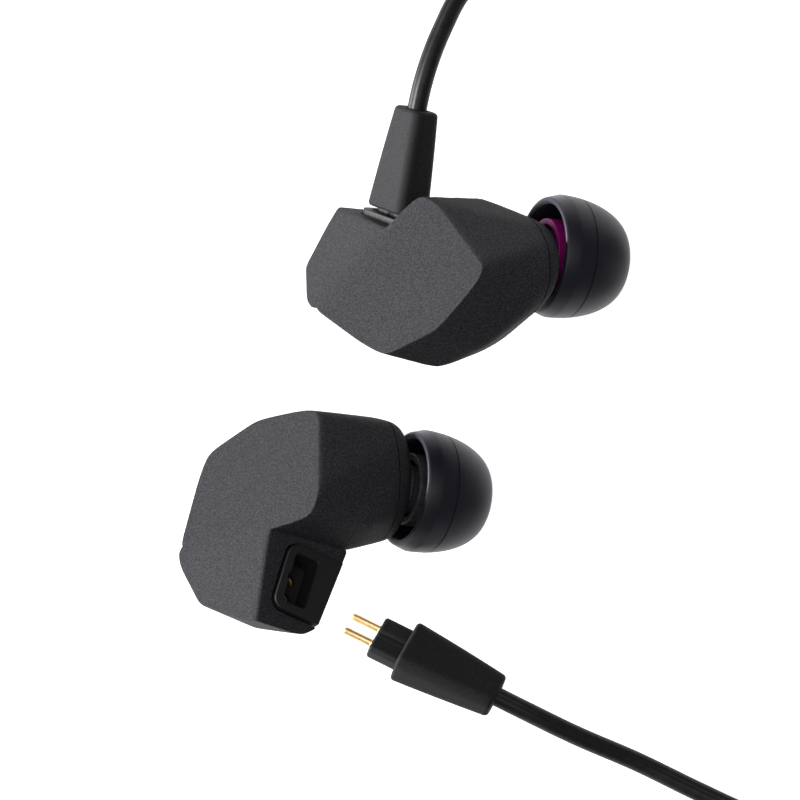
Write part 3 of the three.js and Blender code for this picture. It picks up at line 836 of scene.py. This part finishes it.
PLACES = {
    "left": earpiece_matrix((0.00284, -0.00826, 0.00625),
                            (0.9, -0.156, -0.407), (0.435, 0.293, 0.851), 1),
    "right": earpiece_matrix((0.01669, 0.01561, 0.0094),
                             (0.907, -0.097, -0.41), (0.185, 0.966, 0.181), -1),
}
SOCKET = Matrix.Translation((*SOCKET_CENTRE, 0)) @ Matrix.Rotation(SOCKET_TURN, 4, "Z")


def oval(x, shape, inside=0.0, count=96):
    """Points on an oval across X, drawn in by a distance."""
    (y, z), (half_y, half_z) = shape
    angles = [2 * math.pi * i / count for i in range(count)]
    return [(x, y + (half_y - inside) * math.cos(a), z + (half_z - inside) * math.sin(a)) for a in angles]


def carried_on(name, behind, reach=0.003):
    """A facet's corner, carried on past the facet in line with a point behind it."""
    corner = Vector(FACET[name])
    return corner + (corner - Vector(behind)).normalized() * reach


def facet_plane(names):
    """The middle and outward normal of a facet."""
    corners = np.array([FACET[name] for name in names])
    middle = corners.mean(axis=0)
    normal = np.linalg.svd(corners - middle)[2][2]
    return middle, -normal * np.sign(normal[0])


def press(obj, middle, normal, along, soft=EDGE_SOFT):
    """Presses what stands out of a plane flat onto it along a direction, with a soft edge."""
    place = coordinates(obj.data)
    out = (place - middle) @ normal
    flat = np.minimum(out, 0) - np.maximum(soft - np.abs(out), 0) ** 2 / (4 * soft)
    place += ((flat - out) / np.dot(normal, along))[:, None] * along
    move(obj, place)


def smooth_hull(name, points, rounds):
    """A convex body with a fine even mesh and soft edges."""
    obj = hull(name, points)
    remesh = obj.modifiers.new("remesh", "REMESH")
    remesh.mode = "VOXEL"
    remesh.voxel_size = VOXEL
    applied(obj)
    relax(obj, rounds)
    return obj


def body_form():
    """The outside of an earpiece's body, before it is parted at the seam."""
    big, small = facet_plane(BIG_FACET), facet_plane(SMALL_FACET)
    end = oval(WAIST_X, WAIST_OVAL) + oval(WAIST_X + 0.0006, SLOPE_OVAL) + oval(COVER_END, END_OVAL)
    front = [carried_on(name, SHOULDER[number]) for name, number in BIG_FACET.items()]
    form = smooth_hull("body_form", front + SHOULDER + end, 60)
    outward, upward = np.array([-1.0, 0, 0]), np.array([0, 0, 1.0])
    press(form, *small, outward)
    press(form, *big, outward)

    raised = Vector((0, 0, 0.002))
    ridge = []
    for name in ("ridge_low", "ridge_notch"):
        inward = (Vector(big[0]) - Vector(FACET[name])).normalized() * 0.0025
        ridge += [Vector(FACET[name]) + step - Vector((0.003, 0, 0)) for step in (Vector(), inward)]
    corners = [carried_on("wing_high", WING_BACK[0]), carried_on("wing_low", WING_BACK[3]),
               carried_on("ridge_low", SHOULDER[5])]
    top = [Vector(p) + raised for p in (*WING_BACK[:3], corners[0], FACET["ridge_notch"])]
    wing = smooth_hull("wing", ridge + corners + top + WING_BACK, 26)
    press(wing, *small, outward)
    press(wing, big[0] - 0.00001 * big[1], big[1], outward)
    press(wing, np.array([0, 0, SOCKET_Z]), upward, upward)
    return join(form, wing)


def inset(points, distance):
    """Points drawn in towards their middle, by a little more than a distance."""
    middle = sum((Vector(p) for p in points), Vector()) / len(points)
    arms = [Vector(p) - middle for p in points]
    return [middle + arm * (1 - 1.2 * distance / arm.length) for arm in arms]


def half_space(x, side):
    """A big block on one side of a plane across X."""
    far = 0.04
    xs = (x, x + side * far)
    return hull("half_space", [(a, b, c) for a in xs for b in (-far, far) for c in (-far, far)])


def shell_hollow():
    """The space inside the shell that holds the driver."""
    main = [FACET[name] for name in BIG_FACET] + SHOULDER + oval(WAIST_X, WAIST_OVAL, count=24)
    wing = [FACET[name] for name in SMALL_FACET] + WING_BACK
    mouth = oval(WAIST_X + 0.002, WAIST_OVAL, SHELL_WALL, 24)
    hollow = hull("hollow", inset(main, SHELL_WALL) + mouth)
    return join(hollow, hull("wing_hollow", inset(wing, SHELL_WALL)))


def plate_outline(end, out):
    """The collar's plate: rounded on its inner side, square towards the wing's edge."""
    left, half = -PLATE_LEFT - out, PLATE_HALF + out
    width, middle = end - left, (end + left) / 2
    rounded = outline(width, 2 * half, COLLAR_CORNER + out)
    square = outline(width, 2 * half, PLATE_CORNER)
    chosen = [a if a[0] < 0 else b for a, b in zip(rounded, square)]
    return [(middle + x, y) for x, y in chosen]


def collar_levels(margin, end):
    """Outlines of the socket's insert from the bottom up: stem, collar, and the plate's foot."""
    stem = outline(*(size + 2 * margin for size in STEM_SIZE), STEM_CORNER)
    collar = outline(*(size + 2 * margin for size in COLLAR_SIZE), COLLAR_CORNER + margin)
    step = SOCKET_STEP - margin
    shelf = SOCKET_Z - 0.0006 - margin
    return [level(stem, BLOCK_BOTTOM - margin), level(stem, step), level(collar, step),
            level(collar, shelf), level(plate_outline(end, margin), shelf)]


def socket_pocket():
    """The place in the shell for the socket's insert, with a fine gap all round."""
    rings = collar_levels(COLLAR_GAP, PLATE_END + 0.001)
    rings.append([(x, y, 0.0015) for x, y, _ in rings[-1]])
    return placed(loft("pocket", rings), SOCKET)


def outer_shell(form, name):
    return cut(copy_of(form, name), half_space(SEAM_X, 1), shell_hollow(), socket_pocket())


def inner_cover(form, name):
    """The end of the body with the nozzle, its barb and the sound bore."""
    cover = copy_of(form, name)
    cut(cover, half_space(SEAM_X + SEAM_GAP, -1))
    barb = [(COVER_END - 0.0005, NOZZLE_RADIUS)]
    barb += arc((COVER_END + 0.0004, NOZZLE_RADIUS + 0.0004), 0.0004, 180, 270)
    barb += [(NOZZLE_END - 0.0016, NOZZLE_RADIUS), (NOZZLE_END - 0.0013, NOZZLE_RADIUS + 0.0002)]
    barb += arc((NOZZLE_END - 0.0004, NOZZLE_RADIUS - 0.0002), 0.0004, 90, 0)
    join(cover, turned("barb", barb))
    hollow = hull("cover_hollow", oval(SEAM_X - 0.001, HOLLOW_START_OVAL)
                  + oval(COVER_END - 0.0008, HOLLOW_END_OVAL))
    wide = NOZZLE_BORE + 0.00025
    bore = turned("bore", [(SEAM_X - 0.001, NOZZLE_BORE), (NOZZLE_END + 0.001, NOZZLE_BORE)])
    seat = turned("seat", [(NOZZLE_END - 0.0006, wide), (NOZZLE_END + 0.001, wide)])
    return cut(cover, hollow, bore, seat)


def tip_dome(name):
    """The skirt, with the fine line of its mould and a rounded rim."""
    widest, front, steps = -0.002, 0.0024, 48
    notch = 0.00006
    reach = TIP_FRONT - widest
    outside = []
    for i in range(steps + 1):
        angle = math.pi / 2 * i / steps
        x = widest + reach * math.cos(angle)
        radius = front + (TIP_RADIUS - front) * math.sin(angle) ** TIP_FULLNESS
        if outside and outside[-1][0] > TIP_PARTING + notch >= x:
            before = outside[-1][1]
            outside += [(TIP_PARTING + notch, before + 0.00002), (TIP_PARTING, before - 0.0001),
                        (TIP_PARTING - notch, before + 0.00005)]
        if abs(x - TIP_PARTING) > 2 * notch:
            outside.append((x, radius))
    edge = TIP_WALL / 2
    rim_middle = (TIP_RIM + edge, TIP_RADIUS - 0.00035 - edge)
    rim = arc(rim_middle, edge, 100, 260, 10)
    neck = CORE_RADIUS + 0.00005
    inside = []
    for i in range(steps // 2 + 1):
        angle = math.pi / 2 * i / (steps // 2)
        rise = (TIP_RADIUS - TIP_WALL - neck) * math.sin(angle) ** TIP_FULLNESS
        inside.append((widest + (reach - 0.0018) * math.cos(angle), neck + rise))
    face = TIP_FRONT - 0.0008
    lip = 0.00025
    home = [(face - 0.0003, neck), (face - 0.0003, TIP_OPENING)]
    home += [(TIP_FRONT - lip, TIP_OPENING), *arc((TIP_FRONT - lip, TIP_OPENING + lip), lip, 270, 360)]
    return turned(name, [*outside, *rim, *reversed(inside), *home], loop=True, steps=144)


def tip_core(name):
    """The soft sleeve of the ear tip that grips the nozzle."""
    edge = 0.0002
    front = TIP_FRONT - 0.0008 - GAP
    profile = []
    xs, radii = (front - edge, CORE_BACK + edge), (CORE_RADIUS - edge, CORE_BORE + edge)
    middles = [(xs[0], radii[0]), (xs[1], radii[0]), (xs[1], radii[1]), (xs[0], radii[1])]
    for k, middle in enumerate(middles):
        profile += arc(middle, edge, 90 * k, 90 * k + 90)
    return turned(name, profile, loop=True, steps=128)


def filter_screen(name):
    """A woven wire screen in a rim."""
    middle = NOZZLE_END - 0.0002
    wire, pitch = 0.00005, 0.0003
    reach = NOZZLE_BORE - 0.0001
    half, outer, inner = 0.0001, NOZZLE_BORE - 0.00005, NOZZLE_BORE - 0.00025
    corners = [(half, outer), (-half, outer), (-half, inner), (half, inner)]
    parts = [turned(name, [(middle + x, radius) for x, radius in corners], loop=True)]
    count = int(reach / pitch)
    for way in (0, 1):
        for n in range(-count, count + 1):
            across = n * pitch
            half = math.sqrt(reach ** 2 - across ** 2)
            steps = max(8, int(2 * half / pitch * 4))
            rings = []
            for i in range(steps + 1):
                along = -half + 2 * half * i / steps
                lift = wire * math.cos(math.pi * along / pitch + math.pi * (n + way))
                ring = []
                for k in range(6):
                    angle = math.pi / 3 * k
                    side, out = wire * math.cos(angle), wire * math.sin(angle)
                    pair = (along, across + side) if way else (across + side, along)
                    ring.append((middle + lift + out, *pair))
                rings.append(ring)
            parts.append(loft("wire", rings))
    return merged(parts)


def merged(parts):
    """Puts the meshes of several objects into the first."""
    form = bmesh.new()
    for part in parts:
        form.from_mesh(part.data)
    form.to_mesh(parts[0].data)
    form.free()
    for part in parts[1:]:
        bpy.data.objects.remove(part)
    return parts[0]


def socket_insert(name):
    """The collar with its recess, and the narrower stem that holds the contacts."""
    top = PLATE_TOP
    edge, chamfer, floor = 0.0001, 0.00015, SOCKET_Z + COLLAR_HEIGHT - SOCKET_DEPTH
    rings = collar_levels(0, PLATE_END)
    for out, z in arc((-edge, top - edge), edge, 0, 90):
        rings.append(level(plate_outline(PLATE_END + out, out), z))
    recess = [(chamfer, top), (0.06 * chamfer, top - 0.9 * chamfer), (0, top - 1.3 * chamfer), (0, floor)]
    for out, z in recess:
        rings.append(level(outline(SOCKET_WIDTH + 2 * out, SOCKET_LENGTH + 2 * out, 0.0004 + out), z))
    block = loft(name, rings)
    notch = placed(bar("notch", 0.0005, 0.0006, 0.0001, floor + 0.0012, top + 0.001, 0.00004),
                   Matrix.Translation((-SOCKET_WIDTH / 2, 0, 0)))
    along = (Vector(WING_BACK[2]) - Vector(WING_BACK[1])).normalized()
    across = Vector((along.y, -along.x, 0))
    corner = Vector(WING_BACK[1]) - 0.00012 * across
    beyond = hull("beyond", [corner + along * a + across * b + Vector((0, 0, c))
                             for a in (-0.02, 0.02) for b in (0, 0.02) for c in (-0.01, 0.01)])
    cutters = [notch, placed(beyond, SOCKET.inverted())]
    wide, narrow, mouth = 0.00078, 0.00052, 0.0007
    profile = [(BLOCK_BOTTOM - 0.0001, wide), (-0.0037, wide), (-0.0036, narrow),
               (floor - 0.0001, narrow), (floor + 0.0001, mouth)]
    cutters += [along_z(turned("hole", profile, steps=48), y=y) for _, y in PIN_PLACES]
    return cut(block, *cutters)


def contact(name, y):
    """A split sleeve that grips a pin."""
    low, high, outer, inner = BLOCK_BOTTOM + 0.0006, -0.0039, 0.00069, PIN_RADIUS + 0.00005
    edge = 0.00006
    profile = [(low, inner), (low, outer - edge), (low + edge, outer), (high - edge, outer),
               (high, outer - edge), (high, inner + edge), (high - edge, inner)]
    sleeve = along_z(turned(name, profile, loop=True, steps=48), y=y)
    slit = bar("slit", 0.00016, 0.0016, 0.00002, low - 0.0002, high + 0.0002, 0.00001)
    return cut(sleeve, placed(slit, Matrix.Translation((0, y + math.copysign(0.0008, y), 0))))


def make_earpiece(form, side):
    at = PLACES[side]
    socket = at @ SOCKET
    body, tip = f"{side}_earpiece", f"{side}_ear_tip"
    pieces = [
        (outer_shell(form, f"{side}_shell"), at, body, "shell", "outer_shell"),
        (inner_cover(form, f"{side}_cover"), at, body, "shell", "inner_cover"),
        (filter_screen(f"{side}_screen"), at, body, "filter_mesh", "nozzle_filter"),
        (tip_dome(f"{side}_tip"), at, tip, "silicone", "ear_tip_dome"),
        (tip_core(f"{side}_core"), at, tip, f"{side}_core", "ear_tip_core"),
        (socket_insert(f"{side}_socket"), socket, body, "black_plastic", "socket_block"),
    ]
    for letter, y in PIN_PLACES:
        sleeve = contact(f"{side}_sleeve_{letter}", y)
        pieces.append((sleeve, socket, body, "gold", f"socket_contact_{letter}"))
    for obj, place, carrier, slot, node in pieces:
        show(placed(obj, place), carrier, slot, f"{side}_{node}")


# ---- connector
def boot_size(z):
    """Width and breadth of the boot at a height, on a curve through its three given sizes."""
    share, knee = z / BOOT_LENGTH, 0.4
    sizes = []
    for base, middle, end in zip(BOOT_BASE, BOOT_MIDDLE, BOOT_END):
        bend = (middle - base - (end - base) * knee) / (knee * (knee - 1))
        sizes.append(base + (end - base) * share + bend * share * (share - 1))
    return sizes


def boot(name):
    """The tapered boot, with a mouth for the cord."""
    edge, corner = 0.0004, 0.00125
    shapes = []
    for out, z in rounded_ends(0, BOOT_LENGTH, edge, 16):
        width, breadth = boot_size(z)
        shapes.append(level(outline(width + 2 * out, breadth + 2 * out, corner + out), z))
    mouth = BRANCH_DIAMETER + 0.0003
    for size, z in [(mouth, BOOT_LENGTH), (mouth - 0.0002, BOOT_LENGTH - 0.0005)]:
        shapes.append(level(outline(size, size, mouth / 2), z))
    return loft(name, shapes)


def shroud(name):
    """The block that carries the pins: two lobes with a groove between them."""
    edge, corner = 0.0003, 0.00055
    depth, width = 0.24, 0.00032
    rings = []
    for out, z in [*arc((-edge, edge - SHROUD_LENGTH), edge, -90, 0), (0, 0.0001)]:
        shape = outline(SHROUD_WIDTH + 2 * out, SHROUD_BREADTH + 2 * out, corner + out, side=24)
        rings.append([(x * (1 - depth * math.exp(-((y / width) ** 2))), y, z) for x, y in shape])
    return loft(name, rings)


def pin(name, y):
    """A gold pin with a rounded tip and a short collar where it leaves the shroud."""
    base = -SHROUD_LENGTH
    tip = base - GAP - PIN_LENGTH
    foot = PIN_RADIUS + 0.00004
    profile = [(base + 0.0002, foot), (base - 0.0001, foot), (base - 0.00014, PIN_RADIUS),
               (tip + PIN_RADIUS, PIN_RADIUS)]
    for degrees in range(10, 90, 10):
        angle = math.radians(degrees)
        profile.append((tip + PIN_RADIUS * (1 - math.sin(angle)), PIN_RADIUS * math.cos(angle)))
    return along_z(turned(name, profile, steps=48), y=y)


def loose_matrix():
    """Where the left connector lies on the table, turned about its own axis."""
    z = Vector((0.893, -0.437, 0.11)).normalized()
    side = Vector((0, 0, 1)).cross(z).normalized()
    up = z.cross(side)
    roll = math.radians(38)
    x = up * math.cos(roll) + side * math.sin(roll)
    y = z.cross(x)
    return Matrix.Translation((-0.0002, -0.0244, 0.0035)) @ Matrix((x, y, z)).transposed().to_4x4()


def make_connector(side):
    """A connector, in the right earpiece's socket or beside the left earpiece."""
    lift = Matrix.Translation((0, 0, BOOT_Z))
    at = PLACES["right"] @ SOCKET @ lift if side == "right" else loose_matrix()
    show(placed(boot(f"{side}_boot"), at), "cable", "boot", f"{side}_connector_boot")
    show(placed(shroud(f"{side}_shroud"), at), "cable", "black_plastic", f"{side}_connector_shroud")
    for letter, y in PIN_PLACES:
        show(placed(pin(f"{side}_pin_{letter}", y), at), "cable", "gold", f"{side}_connector_pin_{letter}")


# ---- fittings on the cable
def slider_block():
    """The chin slider: a waisted block with a hole for each branch."""
    half, edge, corner, depth = SLIDER_LENGTH / 2, 0.0007, 0.0016, 0.00025
    rings = []
    for out, z in rounded_ends(-half, half, edge, 12):
        waist = depth * math.cos(math.pi / 2 * z / half) ** 2
        shape = outline(*(size + 2 * (out - waist) for size in SLIDER_SIZE), corner + out)
        rings.append(level(shape, z))
    block = loft("cable_slider", rings)
    radius = BRANCH_DIAMETER / 2 + GAP / 3
    for x in (-PAIR_PITCH / 2, PAIR_PITCH / 2):
        hole = turned("hole", [(-SLIDER_LENGTH, radius), (SLIDER_LENGTH, radius)], steps=48)
        cut(block, along_z(hole, x=x))
    place = Matrix.Translation((PAIR_X, SLIDER_Y, PAIR_Z)) @ Matrix.Rotation(math.pi / 2, 4, "X")
    return show(placed(block, place), "slider", "black_plastic", "slider")


def split_block():
    """The Y split, which narrows to the main cord and has three relief grooves."""
    rings = []
    for out, along in rounded_ends(0, SPLIT_LENGTH, 0.0005, 40):
        taper = smoothstep((along / SPLIT_LENGTH - 0.45) / 0.5)
        rib = 0.0
        if along > 0.6 * SPLIT_LENGTH:
            rib = 0.0002 * (0.5 - 0.5 * math.cos(2 * math.pi * (along / SPLIT_LENGTH - 0.6) / 0.1))
        width = 0.0064 - 0.0022 * taper + 2 * (out - rib)
        height = 0.0043 - 0.0003 * taper + 2 * out - rib
        shape = outline(width, height, 0.0011 + out)
        base = 0.00005 - out
        rings.append([(PAIR_X + x, SPLIT_TOP - along, base + height / 2 + y) for x, y in shape])
    return show(loft("cable_split", rings), "cable", "black_plastic", "y_split")


def strap(kind, centre, middle, half_width, height, angle):
    """A strap wound once round a coil's section, with its end laid over its start."""
    w = half_width + TIE_SLACK
    h = height / 2 + GAP
    path = outline(2 * w, 2 * h, 0.0012, steps=6, side=8)
    start = len(path) // 8
    path = path[start:] + path[:start]
    path += path[: len(path) // 3]
    full = len(path) * 3 // 4
    edge = TIE_THICK / 2
    section = outline(TIE_WIDTH, TIE_THICK, edge * 0.9, steps=4, side=6)
    rings = []
    for i, (x, y) in enumerate(path):
        after, before = path[min(i + 1, len(path) - 1)], path[max(i - 1, 0)]
        ahead = Vector((after[0] - before[0], after[1] - before[1])).normalized()
        out = Vector((ahead.y, -ahead.x))
        lift = TIE_THICK / 2 + 1.08 * TIE_THICK * smoothstep((i - full + 6) / 6)
        point = Vector((x, y)) + out * lift
        rings.append([(point.x + out.x * b, a, point.y + out.y * b) for a, b in section])
    loop = loft(f"{kind}_strap", rings)
    place = Matrix.Translation(centre) @ Matrix.Rotation(angle, 4, "Z")
    place = place @ Matrix.Translation((middle, 0, COIL_LIFT + height / 2))
    return show(placed(loop, place), "cable", "tie", f"tie_{kind}")


def make_ties():
    branch = strap("branch", BRANCH_COIL, BRANCH_MID, BRANCH_DIAMETER, 5 * BRANCH_DIAMETER + GAP,
                   BRANCH_TIE_ANGLE)
    main = strap("main", MAIN_COIL, MAIN_MID, 1.5 * MAIN_DIAMETER, 3 * MAIN_DIAMETER, MAIN_TIE_ANGLE)
    return branch, main


def relief_profile():
    """A tapered sleeve with grooves that let it bend."""
    profile = [(0, 0.0014), (0.0001, 0.00155)]
    count = 4
    step = (RELIEF_LENGTH - 0.0012) / count
    for i in range(count):
        x = 0.0003 + i * step
        radius = 0.0016 + 0.0004 * (i + 1) / count
        profile += [(x, radius), (x + 0.55 * step, radius), (x + 0.65 * step, radius - 0.0003),
                    (x + 0.9 * step, radius - 0.0003)]
    return profile + [(RELIEF_LENGTH - 0.0008, 0.0021), (RELIEF_LENGTH, 0.0021)]


def barrel_profile():
    """A turned barrel with rounded shoulders and a band of flutes for the fingers."""
    start, end, soft = RELIEF_LENGTH, RELIEF_LENGTH + BARREL_LENGTH, 0.0006
    profile = arc((start + soft, PLUG_RADIUS - soft), soft, 180, 90)
    profile += [(start + 0.0022 + 0.0001 * i, PLUG_RADIUS) for i in range(3)]
    profile += [(start + 0.0026 + 0.0002 * i, PLUG_RADIUS) for i in range(1, 38)]
    profile += [(start + 0.0112, PLUG_RADIUS), (start + 0.0114, PLUG_RADIUS - 0.00015)]
    profile += [(start + 0.0118, PLUG_RADIUS - 0.00015), (start + 0.012, PLUG_RADIUS)]
    return profile + arc((end - 0.0008, PLUG_RADIUS - 0.0008), 0.0008, 90, 0)


def barrel_flutes(x, angle):
    """Fine flutes round the barrel that fade out at both ends of their band."""
    start, end, fade = RELIEF_LENGTH + 0.0026, RELIEF_LENGTH + 0.0104, 0.0006
    depth, count = 0.00016, 30
    inside = smoothstep((x - start) / fade) * smoothstep((end - x) / fade)
    return -depth * inside * (0.5 + 0.5 * math.cos(count * angle)) ** 2


def band(x0, x1, radius):
    """A ring of the jack with soft edges."""
    edge = 0.00012
    return (arc((x0 + edge, radius - edge), edge, 180, 90, 3)
            + arc((x1 - edge, radius - edge), edge, 90, 0, 3))


def plug_tip_profile(start):
    """The tip of the jack, with its waist."""
    edge, waist = 0.0001, 0.00055
    shares = [t / 8 for t in range(9)]
    profile = arc((start + edge, JACK_RADIUS - edge), edge, 180, 90, 3)
    profile += [(start + 0.0003 + 0.0009 * t, JACK_RADIUS - waist * smoothstep(t)) for t in shares]
    profile += [(start + 0.0012 + 0.001 * t, JACK_RADIUS - waist * (1 - smoothstep(t))) for t in shares[1:]]
    return profile + [(start + 0.0022 + 0.0014 * t, JACK_RADIUS - 0.00135 * t ** 1.5) for t in shares[1:]]


def make_plug():
    jack = RELIEF_LENGTH + BARREL_LENGTH
    band_a = band(jack + 0.0056, jack + 0.0068, INSULATOR_RADIUS)
    band_b = band(jack + 0.0092, jack + 0.0104, INSULATOR_RADIUS)
    pieces = [
        ("relief", relief_profile(), "black_plastic", "strain_relief"),
        ("body", barrel_profile(), "black_plastic", "barrel"),
        ("jack_sleeve", band(jack - 0.0001, jack + 0.0057, JACK_RADIUS), "gold", "sleeve"),
        ("jack_band_a", band_a, "black_plastic", "insulator_a"),
        ("jack_ring", band(jack + 0.0067, jack + 0.0093, JACK_RADIUS), "gold", "ring"),
        ("jack_band_b", band_b, "black_plastic", "insulator_b"),
        ("jack_tip", plug_tip_profile(jack + 0.0104), "gold", "tip"),
    ]
    place = Matrix.Translation(PLUG_START) @ Matrix.Rotation(math.pi, 4, "Z")
    made = []
    for name, profile, slot, node in pieces:
        steps, flute = (240, barrel_flutes) if node == "barrel" else (64, None)
        obj = placed(turned(f"plug_{name}_fine", profile, steps=steps, flute=flute), place)
        made.append(show(obj, "cable", slot, f"plug_{node}"))
    return made


# ---- carried-over pieces
def paint_frame():
    """Gives the pieces that stay as they are in the frame their looks."""
    looks = {
        "driver_frame": "black_plastic",
        "driver_diaphragm": "film",
        "driver_voice_coil": "copper",
        "driver_magnet": "steel",
        "driver_yoke": "steel",
        "driver_board": "circuit_board",
        "signal_wire_a": "copper",
        "signal_wire_b": "copper",
    }
    for side in ("right", "left"):
        for name, slot in looks.items():
            mesh = bpy.data.objects[f"{side}_{name}"].data
            mesh.materials.clear()
            mesh.materials.append(LOOKS[slot])


LOOKS = all_looks()
camera()
CORDS = make_cords()
studio()
BODY_FORM = body_form()
for earpiece_side in ("right", "left"):
    make_earpiece(BODY_FORM, earpiece_side)
    make_connector(earpiece_side)
bpy.data.objects.remove(BODY_FORM)
BRANCH_STRAP, MAIN_STRAP = make_ties()
FITTINGS = {
    "slider": slider_block(),
    "split": split_block(),
    "plug": make_plug(),
    "branch_tie": BRANCH_STRAP,
    "main_tie": MAIN_STRAP,
}
paint_frame()
